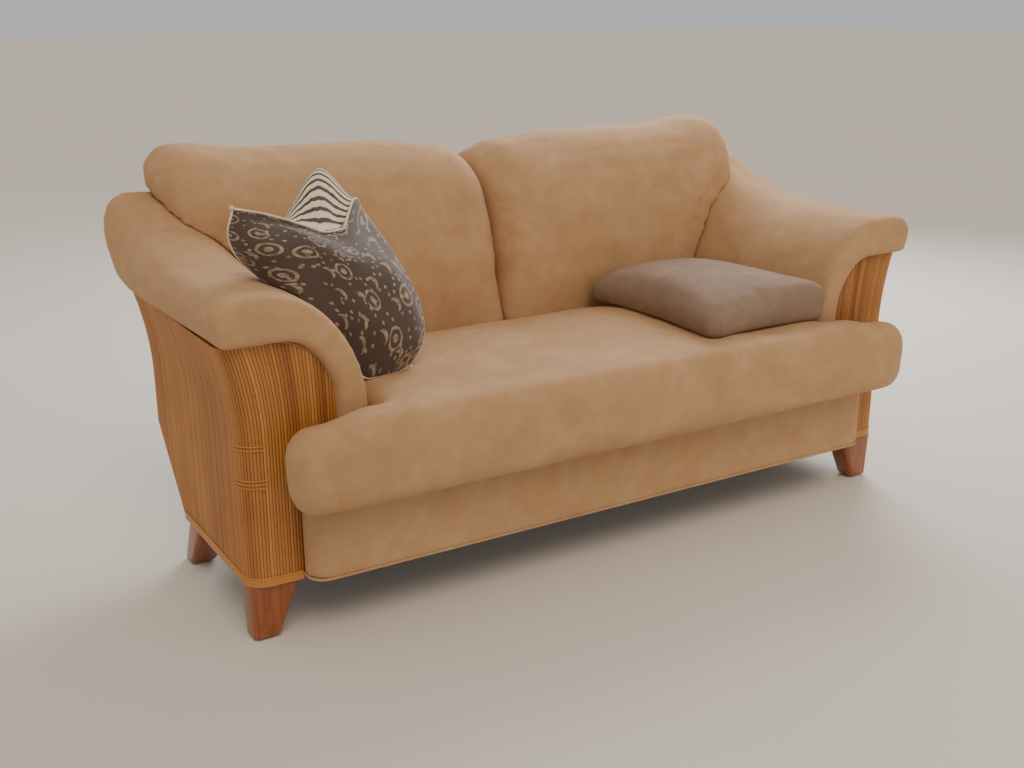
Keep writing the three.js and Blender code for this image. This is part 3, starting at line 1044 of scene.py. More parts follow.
@functools.lru_cache(maxsize=None)
def filled(node: str, filling: Filling) -> bpy.types.Mesh:
    """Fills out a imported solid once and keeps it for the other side.

    Args:
        node: The solid of the right-hand or middle piece.
        filling: How it is filled out.

    Returns:
        The filled and divided mesh.
    """
    piece = filling.remeshed(from_node(node), node + ".filled")
    filling.fill(piece)
    divided = piece.modifiers.new("divided", "SUBSURF")
    divided.levels = 1
    divided.render_levels = 1
    mesh = modified(piece)
    bpy.data.objects.remove(piece)
    return mesh


@dataclass(frozen=True)
class Wear:
    """The slow unevenness of a used cushion and the small creases in its cloth.

    Attributes:
        seed: Moves both to another place.
        wave_mm: The height of the unevenness.
        wave_length_mm: Its length.
        ripple: The height of the shorter waves on it, in its own.
        ripple_turns: How many of them go into one of its own.
        crease_mm: The depth of the creases.
        crease_length_mm: How far apart they are.
        crease_sharp: How narrow they are.
        crease_turns: How many creased patches go into one wave.
        crease_more: How far the creased patches reach beyond half of the cloth.
    """

    seed: float
    wave_mm: float = 2.0
    wave_length_mm: float = 170.0
    ripple: float = 0.4
    ripple_turns: float = 2.3
    crease_mm: float = 0.7
    crease_length_mm: float = 45.0
    crease_sharp: float = 5.0
    crease_turns: float = 1.7
    crease_more: float = 0.1

    def lift(self, co: Vector) -> float:
        """Works out how far the cloth stands out at a point.

        Args:
            co: The point.

        Returns:
            The height in metres, less than nought in a hollow.
        """
        at = co / (self.wave_length_mm * MM) + Vector((self.seed, 0, 0))
        wave = noise.noise(at) + self.ripple * noise.noise(at * self.ripple_turns)
        fold = noise.noise(co / (self.crease_length_mm * MM) + Vector((0, self.seed, 0)))
        sharp = max(0.0, 1 - self.crease_sharp * abs(fold)) ** 2
        crease = -sharp * max(0.0, noise.noise(at * self.crease_turns) + self.crease_more)
        return MM * (self.wave_mm * wave + self.crease_mm * crease)


def cushion_from(
    node: str, name: str, filling: Filling, wear: Wear, side: Side = Side.RIGHT, rule: Rule | None = None
) -> Object:
    """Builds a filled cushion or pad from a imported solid.

    Args:
        node: The solid of the right-hand or middle piece.
        name: The new piece's name.
        filling: How it is filled out.
        wear: Its unevenness.
        side: Where it lies; the left one is the right one turned round.
        rule: A last shaping of every vertex.

    Returns:
        The new object.
    """
    bm = bmesh.new()
    bm.from_mesh(filled(node, filling))
    bm.normal_update()
    lifts = [vert.normal * wear.lift(vert.co) for vert in bm.verts]
    for vert, lift in zip(bm.verts, lifts):
        vert.co += lift
    if rule is not None:
        bend(bm, rule)
    if side is Side.LEFT:
        mirror_across(bm)
    return to_object(bm, name)


# Rattan


def flare(z: float) -> float:
    """How far the rattan leans out at a level."""
    return FLARE * ramp(z, FLARE_FROM, PANEL_TOP - FLARE_FROM) ** 2


@dataclass
class ReedWall:
    """The upright split reeds on one arm: its side, its rounded corner and its front.

    Attributes:
        side: The arm.
        front_reed: The width of a reed in front and at the corner.
        side_reed: The width of a reed at the side.
        steps: Faces across a reed.
        levels: Faces up a reed.
        rear: Where the side sheet ends at the top.
        rear_foot: Where it ends at the foot.
        sweep_top: The level up to which its rear edge is cut on the slant.
        arch_inner: The inner edge of the front sheet, as x.
        arch_crown: Where its round top ends, as x.
        arch_spring: The level at which its round top starts.
        backing: How far the sheets stand off the panels.
        proud: The height of a reed, in its width.
        skirt: How far a sheet's rim is turned in.
        heart: A place inside the arm that the rim is turned in to, as x and y.
        tone: A middling reed's tone.
        bundle_tone: How far the tone goes up and down from bundle to bundle.
        reed_tone: How far it goes up and down from reed to reed.
        bundle_step: The reeds' distance in the bundles' noise.
        reed_step: Their distance in their own.
        sheet_step: How far apart two sheets' noises are, for each metre that one is longer.
        wrap_from: The level of the lowest turn of cane.
        wrap_step: From turn to turn.
        wrap_gap: The bare height between the two groups of turns.
        wrap_groups: The turns in the lower and in the upper group.
        wrap_radius: The radius of the cane.
        wrap_lift: How far its middle lies off the reeds.
        bead_level: The level of the foot's thin cane over the panel's foot.
        bead_radius: Its radius.
        bead_lift: How far its middle lies off the panel.
        bead_inner: Where it starts in front, as x.
        bead_rear: Where it ends at the side, as y.
        arc_steps: Steps of a cane round the corner.
    """

    side: Side
    front_reed: float = 0.0062
    side_reed: float = 0.0044
    steps: int = 4
    levels: int = 20
    rear: float = 0.260
    rear_foot: float = 0.103
    sweep_top: float = 0.295
    arch_inner: float = 0.649
    arch_crown: float = 0.755
    arch_spring: float = 0.455
    backing: float = 0.0002
    proud: float = 0.28
    skirt: float = 0.003
    heart: Pair = (0.62, -0.1)
    tone: float = 0.5
    bundle_tone: float = 0.45
    reed_tone: float = 0.3
    bundle_step: float = 0.43
    reed_step: float = 7.31
    sheet_step: float = 50
    wrap_from: float = 0.318
    wrap_step: float = 0.0075
    wrap_gap: float = 0.052
    wrap_groups: tuple[int, int] = (3, 2)
    wrap_radius: float = 0.0016
    wrap_lift: float = 0.0006
    bead_level: float = 0.0165
    bead_radius: float = 0.0019
    bead_lift: float = 0.0025
    bead_inner: float = 0.7335
    bead_rear: float = 0.100
    arc_steps: int = 12

    def sheet(
        self,
        name: str,
        length: float,
        reed: float,
        place: Callable[[float, float, float], Vector],
        cut: tuple[Vector, Vector] | None = None,
    ) -> None:
        """Makes a sheet of half-round reeds and dresses it.

        Args:
            name: The piece's name without its side.
            length: The sheet's length across the reeds.
            reed: The width of one reed.
            place: Gives a point from the share across, the share up and how far it stands out.
            cut: A point of the plane that the reeds are sawn off along, and the way to the waste.
        """
        count = max(round(length / reed), 1)
        bm = bmesh.new()
        bmesh.ops.create_grid(bm, x_segments=count * self.steps, y_segments=self.levels, size=0.5)
        valley = bm.verts.layers.float.new("valley")
        tone = bm.faces.layers.float.new("tone")
        for face in bm.faces:
            column = math.floor((face.calc_center_median().x + 0.5) * count)
            own = (length * self.sheet_step, self.side.value)
            bundle = noise.noise(Vector((column * self.bundle_step, *own)))
            single = noise.noise(Vector((column * self.reed_step, *own)))
            face[tone] = self.tone + self.bundle_tone * bundle + self.reed_tone * single
        for vert in bm.verts:
            across = (vert.co.x + 0.5) * count
            bow = 2 * (across - math.floor(across + SAME)) - 1
            crest = math.sqrt(max(1 - bow * bow, 0.0))
            # How far down the groove between two reeds the point lies; the reed finish paints shade there
            vert[valley] = 1 - crest
            vert.co = place(vert.co.x + 0.5, vert.co.y + 0.5, self.backing + reed * self.proud * crest)
        if cut is not None:
            everything = bm.verts[:] + bm.edges[:] + bm.faces[:]
            bmesh.ops.bisect_plane(bm, geom=everything, plane_co=cut[0], plane_no=cut[1], clear_outer=True)
        rim = [edge for edge in bm.edges if edge.is_boundary]
        for edge in rim:
            edge.smooth = False
        skirt = bmesh.ops.extrude_edge_only(bm, edges=rim)["geom"]
        for vert in (item for item in skirt if isinstance(item, bmesh.types.BMVert)):
            inward = Vector((self.heart[0] - vert.co.x, self.heart[1] - vert.co.y, 0)).normalized()
            vert.co += inward * self.skirt
        bmesh.ops.recalc_face_normals(bm, faces=bm.faces)
        if sum(face.normal.dot(OUTWARDS) for face in bm.faces) < 0:
            bmesh.ops.reverse_faces(bm, faces=bm.faces)
        if self.side is Side.LEFT:
            mirror_across(bm)
        settle(to_object(bm, f"{name}_{self.side.label}"), REED)

    def on_side(self, across: float, up: float, out: float) -> Vector:
        """Places a point of the side sheet.

        Args:
            across: The share of the way from the front to the back.
            up: The share of the way up.
            out: How far the point stands out.

        Returns:
            Its place on the right arm.
        """
        z = PANEL_BOTTOM + up * (PANEL_TOP - PANEL_BOTTOM)
        front = FRONT_PLANE + CORNER_RADIUS
        return Vector((RATTAN_HALF + flare(z) + out, front + across * (self.rear - front), z))

    def on_corner(self, across: float, up: float, out: float) -> Vector:
        """Places a point of the corner sheet.

        Args:
            across: The share of the way from the side to the front.
            up: The share of the way up.
            out: How far the point stands out.

        Returns:
            Its place on the right arm.
        """
        z = PANEL_BOTTOM + up * (PANEL_TOP - PANEL_BOTTOM)
        turn = -math.pi / 2 * across
        radius = CORNER_RADIUS + out
        x = RATTAN_HALF - CORNER_RADIUS + flare(z) + radius * math.cos(turn)
        return Vector((x, FRONT_PLANE + CORNER_RADIUS + radius * math.sin(turn), z))

    def on_front(self, across: float, up: float, out: float) -> Vector:
        """Places a point of the front sheet, under the arch.

        Args:
            across: The share of the way from the inner edge to the corner.
            up: The share of the way up.
            out: How far the point stands out.

        Returns:
            Its place on the right arm.
        """
        outer = RATTAN_HALF - CORNER_RADIUS
        x = self.arch_inner + across * (outer - self.arch_inner)
        top = PANEL_TOP
        if x < self.arch_crown:
            share = (self.arch_crown - x) / (self.arch_crown - self.arch_inner)
            top = self.arch_spring + (PANEL_TOP - self.arch_spring) * math.sqrt(max(1 - share**2, 0.0))
        z = PANEL_BOTTOM + up * (top - PANEL_BOTTOM)
        return Vector((x + flare(z) * across, FRONT_PLANE - out, z))

    def cane(self, name: str, paths: Sequence[Sequence[Vector]], radius: float) -> None:
        """Lays cane along paths of the right arm, or along their mirror images on the left one.

        Args:
            name: The piece's name without its side.
            paths: The points of each path.
            radius: The cane's radius.
        """
        turned = [[Vector((co.x * self.side.value, co.y, co.z)) for co in path] for path in paths]
        settle(cord_along(f"{name}_{self.side.label}", turned, radius), WRAP)

    def bindings(self) -> None:
        """Wraps two groups of turns of cane round the corner."""
        radius = CORNER_RADIUS + self.front_reed * self.proud + self.wrap_lift
        lower, upper = self.wrap_groups
        paths = []
        for turn in range(lower + upper):
            z = self.wrap_from + turn * self.wrap_step + (self.wrap_gap if turn >= lower else 0.0)
            centre = Vector((RATTAN_HALF - CORNER_RADIUS + flare(z), FRONT_PLANE + CORNER_RADIUS, z))
            paths.append(arc(centre, radius, 0, -1, self.arc_steps))
        self.cane("corner_binding", paths, self.wrap_radius)

    def beading(self) -> None:
        """Lays a thin cane along the top edge of the band at the rattan's foot."""
        z = PANEL_BOTTOM + self.bead_level
        centre = Vector((RATTAN_HALF - CORNER_RADIUS, FRONT_PLANE + CORNER_RADIUS, z))
        radius = CORNER_RADIUS + self.bead_lift
        path = [Vector((self.bead_inner, FRONT_PLANE - self.bead_lift, z))]
        path += arc(centre, radius, -1, 0, self.arc_steps)
        path.append(Vector((centre.x + radius, self.bead_rear, z)))
        self.cane("foot_beading", [path], self.bead_radius)

    def build(self) -> None:
        """Builds the three sheets, the bindings and the beading of one arm."""
        depth = self.rear - FRONT_PLANE - CORNER_RADIUS
        width = RATTAN_HALF - CORNER_RADIUS - self.arch_inner
        foot = Vector((0.0, self.rear_foot, PANEL_BOTTOM))
        waste = Vector((0.0, self.sweep_top - PANEL_BOTTOM, self.rear_foot - self.rear))
        self.sheet("side_reeds", depth, self.side_reed, self.on_side, (foot, waste))
        self.sheet("corner_reeds", CORNER_RADIUS * math.pi / 2, self.front_reed, self.on_corner)
        self.sheet("front_reeds", width, self.front_reed, self.on_front)
        self.bindings()
        self.beading()


# Feet


@dataclass
class Foot:
    """One tapered foot with rounded upright edges.

    Attributes:
        side: The arm that it stands under.
        row: Whether it is a front foot or a rear one.
        near: Where its front lies at the top, as y.
        near_sole: Where its front lies at the sole.
        outer: Its outer side at the top, as x.
        outer_sole: Its outer side at the sole.
        width: Its width at the top.
        depth: Its depth at the top.
        sole_width: Its width at the sole.
        sole_depth: Its depth at the sole.
        bottom: The sole's level.
        top: The top's level.
        edge: The rounding of its upright edges, in its width.
        edge_steps: Faces round one of them.
        rim: The rounding of its top and of its sole, in its width.
        rim_steps: Faces round one of those.
    """

    side: Side
    row: str
    near: float
    near_sole: float
    outer: float = 0.833
    outer_sole: float = 0.832
    width: float = 0.100
    depth: float = 0.074
    sole_width: float = 0.055
    sole_depth: float = 0.050
    bottom: float = 0.005
    top: float = 0.118
    edge: float = 0.2
    edge_steps: int = 6
    rim: float = 0.02
    rim_steps: int = 2

    def rounded(self, bm: bmesh.types.BMesh, upright: bool, offset: float, steps: int) -> None:
        """Rounds the upright edges of the unit block, or those of its top and its sole.

        Args:
            bm: The block.
            upright: Whether the upright edges are meant.
            offset: How far the rounding reaches.
            steps: Faces round an edge.
        """
        edges = [e for e in bm.edges if (abs(e.verts[0].co.z - e.verts[1].co.z) > 0.5) == upright]
        bmesh.ops.bevel(
            bm,
            geom=edges,
            offset=offset,
            offset_type="OFFSET",
            affect="EDGES",
            segments=steps,
            profile=0.5,
            material=-1,
        )

    def place(self, co: Vector) -> Vector:
        """Places a point of the unit block on the foot's taper.

        Args:
            co: The point.

        Returns:
            Its place on the right foot.
        """
        up = co.z + 0.5
        width = self.sole_width + (self.width - self.sole_width) * up
        depth = self.sole_depth + (self.depth - self.sole_depth) * up
        outer = self.outer_sole + (self.outer - self.outer_sole) * up
        near = self.near_sole + (self.near - self.near_sole) * up
        x = outer + (co.x - 0.5) * width
        y = near + (co.y + 0.5) * depth
        return Vector((x, y, self.bottom + up * (self.top - self.bottom)))

    def build(self) -> None:
        """Builds the foot and dresses it."""
        bm = bmesh.new()
        bmesh.ops.create_cube(bm, size=1.0)
        self.rounded(bm, True, self.edge, self.edge_steps)
        self.rounded(bm, False, self.rim, self.rim_steps)
        bend(bm, self.place)
        if self.side is Side.LEFT:
            mirror_across(bm)
        bmesh.ops.recalc_face_normals(bm, faces=bm.faces)
        name = f"foot_{self.row}_{self.side.label}"
        settle(to_object(bm, f"turned_{name}"), FOOT_WOOD, [name])


# Upholstery


@dataclass
class ArmPad:
    """The upholstered pad that lies over one arm."""

    side: Side

    def build(self) -> None:
        """Builds the pad and dresses it."""
        room = Room(front=3, up=3, outer=4, inner=1)
        wear = Wear(seed=3.0 + self.side.value, wave_mm=1.6)
        name = f"arm_cover_{self.side.label}"
        piece = cushion_from("arm_pad_right", name, Filling(room, voxel_mm=9.0), wear, self.side)
        settle(piece, VELOUR, [f"arm_pad_{self.side.label}"])


@dataclass
class BackPad:
    """One half of the back, rolled in at the middle seam.

    Attributes:
        side: The half.
        roll: How far from the seam the front starts to roll in.
        depth: How deep it rolls in.
        top_roll: How far from the seam the top starts to roll down.
        top_depth: How deep it rolls down.
        seam: Where the seam lies, as x.
        face: Where the front's roll starts, as y, and how soon it is full, to the front.
        face_up: Where the front's roll starts, as z, and how soon it is full.
        crest: Where the top's roll starts, as z, and how soon it is full.
        tail: Where the top's roll fades to the rear, as y, and how soon it has.
        tail_fade: The share of the top's roll that is then gone.
    """

    side: Side
    roll: float = 0.120
    depth: float = 0.060
    top_roll: float = 0.100
    top_depth: float = 0.030
    seam: float = 0.0015
    face: Pair = (0.40, -0.12)
    face_up: Pair = (0.44, 0.10)
    crest: Pair = (0.70, 0.12)
    tail: Pair = (0.34, 0.08)
    tail_fade: float = 0.6

    def rounded(self, near: float, reach: float) -> float:
        """How far an elliptic corner has fallen at a distance from the seam, as a share of its depth."""
        share = 1 - ramp(near, 0.0, reach)
        return 1 - math.sqrt(max(1 - share * share, 0.0))

    def shape(self, co: Vector) -> Vector:
        """Rolls the front and the top in towards the middle seam.

        Args:
            co: A point of the filled pad.

        Returns:
            Its place on the rolled one.
        """
        near = co.x - self.seam
        facing = ramp(co.y, *self.face) * ramp(co.z, *self.face_up)
        on_top = ramp(co.z, *self.crest) * (1 - self.tail_fade * ramp(co.y, *self.tail))
        co.y += self.depth * self.rounded(near, self.roll) * facing
        co.z -= self.top_depth * self.rounded(near, self.top_roll) * on_top
        return co

    def build(self) -> None:
        """Builds the pad and dresses it."""
        room = Room(front=9, up=2, back=1, outer=3)
        wear = Wear(seed=11.0 + 5 * self.side.value, wave_mm=2.4)
        name = f"back_cover_{self.side.label}"
        piece = cushion_from("back_pad_right", name, Filling(room), wear, self.side, self.shape)
        settle(piece, VELOUR, [f"back_pad_{self.side.label}"])


@dataclass
class SeatCushion:
    """The T-shaped seat cushion with a round front, which sinks a little towards the back.

    Attributes:
        sink: How far its top sinks.
        sink_from: Where that starts, as y.
        sink_length: How soon it has sunk.
        ear_drop: How far the ears in front of the arms hang.
        ear_from: Where that starts, as x.
        ear_length: How soon they hang.
        top: Where its upper half starts, as z, and how soon it moves as far as the top.
    """

    sink: float = 0.018
    sink_from: float = -0.060
    sink_length: float = 0.180
    ear_drop: float = 0.018
    ear_from: float = 0.600
    ear_length: float = 0.110
    top: Pair = (0.36, 0.08)

    def shape(self, co: Vector) -> Vector:
        """Lets the top sink towards the back and over the ears.

        Args:
            co: A point of the filled cushion.

        Returns:
            Its place on the worn cushion.
        """
        near_top = ramp(co.z, *self.top)
        ear = ramp(abs(co.x), self.ear_from, self.ear_length)
        ear = ear * ear * (3 - 2 * ear)
        co.z -= self.sink * ramp(co.y, self.sink_from, self.sink_length) ** 2 * near_top
        co.z -= self.ear_drop * ear * near_top
        return co

    def build(self) -> None:
        """Builds the cushion and dresses it."""
        room = Room(front=4, up=1, down=1, outer=2, inner=2)
        wear = Wear(seed=21.0, wave_mm=2.6, wave_length_mm=130)
        piece = cushion_from("seat_cushion", "seat_cushion_cover", Filling(room), wear, rule=self.shape)
        settle(piece, VELOUR, ["seat_cushion"])


@dataclass
class Apron:
    """The upholstered board under the cushion, with a hem along its foot.

    Attributes:
        half: Half its length.
        front: Its front face, as y.
        rear: Its rear face, as y.
        bottom: Its foot's level.
        corner: The radius of its round ends.
        hem: The hem's radius.
        tuck: How far the hem's middle lies inside the board's outline.
        arc_steps: Steps of the hem round an end.
    """

    half: float = 0.731
    front: float = -0.351
    rear: float = -0.297
    bottom: float = 0.126
    corner: float = 0.035
    hem: float = 0.0028
    tuck: float = 0.0019
    arc_steps: int = 10

    def build(self) -> None:
        """Builds the apron and its hem."""
        room = Room(front=2, outer=1, inner=1)
        filling = Filling(room, voxel_mm=10.0, pressure=0, rounding=2)
        wear = Wear(seed=31.0, wave_mm=1.2, wave_length_mm=240)
        piece = cushion_from("apron", "apron_cover", filling, wear)
        settle(piece, VELOUR, ["apron"])
        level = self.bottom + self.tuck
        path = [Vector((self.tuck - self.half, self.rear, level))]
        for sign, start in ((-1, -2), (1, -1)):
            middle = Vector((sign * (self.half - self.corner), self.front + self.corner, level))
            path += arc(middle, self.corner - self.tuck, start, start + 1, self.arc_steps)
        path.append(Vector((self.half - self.tuck, self.rear, level)))
        settle(cord_along("apron_hem", [path], self.hem), VELOUR)


@dataclass
class BackShell:
    """The upholstered shell behind the back, with a welt round its rear face.

    Attributes:
        half: Half its width.
        corner: The radius of its upper corners.
        top: Its top's level.
        deck: The level at which its rear face breaks.
        bottom: Its foot's level.
        knee: The rear face at the deck, as y.
        foot: The rear face at the foot, as y.
        plane: The rear face at the top, as y.
        welt: The welt's radius.
        welt_inset: How far the welt's middle lies inside the outline.
        welt_sunk: How far it lies in front of the rear face.
        arc_steps: Steps of the welt round a corner.
    """

    half: float = 0.808
    corner: float = 0.120
    top: float = 0.800
    deck: float = 0.283
    bottom: float = 0.118
    knee: float = 0.262
    foot: float = 0.128
    plane: float = 0.438
    welt: float = 0.0035
    welt_inset: float = 0.004
    welt_sunk: float = 0.001
    arc_steps: int = 10

    def rear(self, z: float) -> float:
        """Works out where the rear face lies at a level.

        Args:
            z: The level.

        Returns:
            The rear face, as y.
        """
        if z < self.deck:
            return self.foot + (self.knee - self.foot) * ramp(z, self.bottom, self.deck - self.bottom)
        return self.knee + (self.plane - self.knee) * (z - self.deck) / (self.top - self.deck)

    def build(self) -> None:
        """Builds the cover and its welt."""
        filling = Filling(Room(back=3), voxel_mm=16.0, pressure=0, rounding=1)
        wear = Wear(seed=41.0, wave_mm=1.0, wave_length_mm=300)
        piece = cushion_from("back_shell", "back_shell_cover", filling, wear)
        settle(piece, VELOUR, ["back_shell"])
        half = self.half - self.welt_inset
        low = self.bottom + self.welt_inset
        reach = self.corner - self.welt_inset
        outline = [(-half, low), (-half, self.deck)]
        for centre, start in ((-1, math.pi), (1, math.pi / 2)):
            for step in range(self.arc_steps + 1):
                turn = start - math.pi / 2 * step / self.arc_steps
                x = centre * (self.half - self.corner) + reach * math.cos(turn)
                outline.append((x, self.top - self.corner + reach * math.sin(turn)))
        outline += [(half, self.deck), (half, low)]
        ring = [Vector((x, self.rear(z) - self.welt_sunk, z)) for x, z in outline]
        settle(cord_along("back_shell_welt", [ring], self.welt, closed=True), VELOUR)


@dataclass
class RearInfill:
    """The narrow upholstered board between a side panel and the shell."""

    side: Side

    def build(self) -> None:
        """Builds the infill and dresses it."""
        filling = Filling(Room(outer=1), voxel_mm=9.0, pressure=0, rounding=2)
        wear = Wear(seed=51.0, wave_mm=0.5)
        name = f"rear_infill_cover_{self.side.label}"
        piece = cushion_from("rear_infill_right", name, filling, wear, self.side)
        settle(piece, VELOUR, [f"rear_infill_{self.side.label}"])


@dataclass
class PlainCushion:
    """The flat taupe cushion.

    It is full in the middle and at its right front corner, and thin at its other edges.

    Attributes:
        middle: The middle of its underside.
        width: Its width, along x.
        depth: Its depth, along y.
        high: Its height.
        crown: How far its middle stands over that.
        thin: The share of its height that a thin edge lacks.
        full_right: Where the full corner starts, as a share of half the width, and how soon it is full.
        full_front: Where it starts, as a share of half the depth, and how soon it is full.
        pull: How far the middle of a side is drawn in.
        spread: How far a corner stands out.
    """

    middle: Vector = Vector((0.396, -0.120, SEAT_CROWN))
    width: float = 0.370
    depth: float = 0.490
    high: float = 0.088
    crown: float = 0.012
    thin: float = 0.42
    full_right: Pair = (-0.1, 0.9)
    full_front: Pair = (-0.4, 1.0)
    pull: float = 0.014
    spread: float = 0.007

    def shape(self, co: Vector) -> Vector:
        """Thins the edges and draws the sides in between the corners.

        Args:
            co: A point of the filled cushion.

        Returns:
            Its place on the worn cushion.
        """
        u = 2 * (co.x - self.middle.x) / self.width
        v = 2 * (co.y - self.middle.y) / self.depth
        full = (1 - min(u * u, 1.0)) * (1 - min(v * v, 1.0))
        up = ramp(co.z, self.middle.z, self.high)
        thin = self.thin * (1 - ramp(u, *self.full_right) * ramp(-v, *self.full_front))
        co.z += up * (self.crown * full - self.high * thin * (1 - full) ** 3)
        co.x += u * (self.spread - (self.pull + self.spread) * (1 - min(v * v, 1.0)))
        co.y += v * (self.spread - (self.pull + self.spread) * (1 - min(u * u, 1.0)))
        return co

    def build(self) -> None:
        """Builds the cushion and dresses it."""
        room = Room(front=7, back=6, up=5, outer=8, inner=7)
        filling = Filling(room, voxel_mm=8.0, rounding=8)
        wear = Wear(seed=61.0, wave_mm=2.0, wave_length_mm=110)
        piece = cushion_from("plain_cushion", "plain_cushion_cover", filling, wear, rule=self.shape)
        settle(piece, TAUPE, ["plain_cushion"])


@dataclass
class ThrowCushion:
    """The patterned cushion, sewn from two square sheets and slumped into the left corner.

    Its upper right corner is folded forwards, so the striped rear sheet shows above the top seam.
    In shares of a sheet, u goes from the left seam to the right one and v from the lower to the upper.

    Attributes:
        half: Half of a sheet's side.
        thick: The greatest thickness.
        gap: The thickness of the flat cushion.
        grid: Faces along a sheet's side.
        pressure: The pressure that fills it.
        quick_pull: How far a side is drawn in where it is filled by rule, in halves; not used.
        left: Points of the left seam, from the arm up to the corner over the arm.
        right: Points of the right seam, from the seat up to the folded corner.
        bottom: Points of the lower seam, from the arm to the seat.
        top: Points of the upper seam, from the corner over the arm to the folded corner.
        fade: How fast a seam's pull fades away from it.
        fold_fade: How much faster the right seam's fades on the front sheet, near the fold.
        fold_from: The v where that starts, and how soon it is full.
        facing: The way the front sheet faces.
        top_flat: How far the front sheet stays flat under the upper seam, in v, at the left, and how
            much further at the right.
        rear_flat: How far the rear sheet stays flat beside the left seam, in u.
        rise: How far the rear sheet stands up behind the folded corner.
        rise_way: The way it stands up.
        rise_from: The v where it starts to stand up, and how soon it is done.
        rise_skew: How far to the right and how far up it stands highest, as powers of u and v.
        rise_sharp: How narrow it is, as a power.
        overhang: How far the front sheet hangs over the left seam.
        overhang_reach: How far that reaches in u, and how soon it grows in v from below and from above.
        belly: How far the lower part hangs down on to the seat.
        belly_skew: How far to the left that hangs lowest, as a power of u.
        arm_centre: The middle of the arm's round top, as x and z.
        arm_reach: Its half width and half height.
        clear: How far the cushion stays off the arm's middle, in its reach.
        core: A point nearer to that middle is moved as if it lay this far off.
        rest: How far it stays off the seat.
        piping: The piping's radius.
        knot: The radius of the corner knots.
        knot_out: How far a knot lies beyond its corner, in its radius.
        knot_rough: How uneven a knot is, as a share of its radius.
        knot_grain: The bumps on a knot, in each metre.
    """

    half: float = 0.190
    thick: float = 0.140
    gap: float = 0.006
    grid: int = 58
    pressure: float = 5.0
    quick_pull: float = 0.08
    left: tuple[Vector, ...] = (
        Vector((-0.676, -0.180, 0.652)),
        Vector((-0.752, -0.150, 0.700)),
        Vector((-0.784, -0.148, 0.757)),
        Vector((-0.772, -0.150, 0.812)),
    )
    right: tuple[Vector, ...] = (
        Vector((-0.440, -0.192, 0.472)),
        Vector((-0.395, -0.165, 0.512)),
        Vector((-0.380, -0.130, 0.570)),
        Vector((-0.390, -0.088, 0.632)),
        Vector((-0.412, -0.040, 0.695)),
        Vector((-0.440, 0.000, 0.755)),
        Vector((-0.474, -0.030, 0.792)),
        Vector((-0.540, -0.122, 0.750)),
    )
    bottom: tuple[Vector, ...] = (
        Vector((-0.676, -0.180, 0.652)),
        Vector((-0.596, -0.205, 0.575)),
        Vector((-0.525, -0.210, 0.500)),
        Vector((-0.440, -0.192, 0.472)),
    )
    top: tuple[Vector, ...] = (
        Vector((-0.772, -0.150, 0.812)),
        Vector((-0.726, -0.156, 0.802)),
        Vector((-0.681, -0.158, 0.788)),
        Vector((-0.638, -0.154, 0.771)),
        Vector((-0.591, -0.144, 0.752)),
        Vector((-0.540, -0.122, 0.750)),
    )
    fade: float = 3.0
    fold_fade: float = 5.0
    fold_from: Pair = (0.5, 0.3)
    facing: Vector = Vector((0.44, -0.75, 0.49))
    top_flat: Pair = (0.35, 0.35)
    rear_flat: float = 0.35
    rise: float = 0.140
    rise_way: Vector = Vector((0.10, 0.25, 0.96))
    rise_from: Pair = (0.45, 0.55)
    rise_skew: Pair = (2.8, 1.2)
    rise_sharp: float = 1.3
    overhang: Vector = Vector((-0.034, -0.016, -0.010))
    overhang_reach: tuple[float, float, float] = (0.3, 0.15, 0.4)
    belly: float = 0.060
    belly_skew: float = 0.7
    arm_centre: Pair = (-0.780, 0.440)
    arm_reach: Pair = (0.194, 0.240)
    clear: float = 1.012
    core: float = 0.1
    rest: float = 0.002
    piping: float = 0.0024
    knot: float = 0.0045
    knot_out: float = 0.5
    knot_rough: float = 0.25
    knot_grain: float = 260.0

    def sewn(self) -> bmesh.types.BMesh:
        """Makes the two sheets, closed along their edges, with the cloth's own UV map.

        Returns:
            The flat closed mesh, with its seam at a height of nought.
        """
        bm = bmesh.new()
        bmesh.ops.create_grid(bm, x_segments=self.grid, y_segments=self.grid, size=self.half)
        uv = bm.loops.layers.uv.new("cloth")
        for face in bm.faces:
            for loop in face.loops:
                loop[uv].uv = (loop.vert.co.x / self.half / 2 + 0.5, loop.vert.co.y / self.half / 2 + 0.5)
        sheet = to_object(bm, "throw_cushion.sheet")
        # The modifier lists its edges in the same order each run, and the cloth creases by that order
        doubled = sheet.modifiers.new("doubled", "SOLIDIFY")
        doubled.thickness = self.gap
        doubled.offset = 0.0
        flat = bmesh.new()
        flat.from_mesh(modified(sheet))
        bpy.data.objects.remove(sheet)
        for face in flat.faces:
            face.material_index = 0 if face.normal.z > 0.5 else 1 if face.normal.z < -0.5 else 2
        return flat

    def puffed(self, piece: Object) -> list[Vector]:
        """Args:
            piece: The flat cushion.

        Returns:
            The vertices' new places, with the cushion's greatest thickness set.
        """
        places = Filling(Room(), pressure=self.pressure).swollen(piece)
        reach = max(abs(co.x) for co in places)
        tall = max(abs(co.y) for co in places)
        fat = max(abs(co.z) for co in places)
        return [
            Vector((co.x * self.half / reach, co.y * self.half / tall, co.z * self.thick / 2 / fat))
            for co in places
        ]

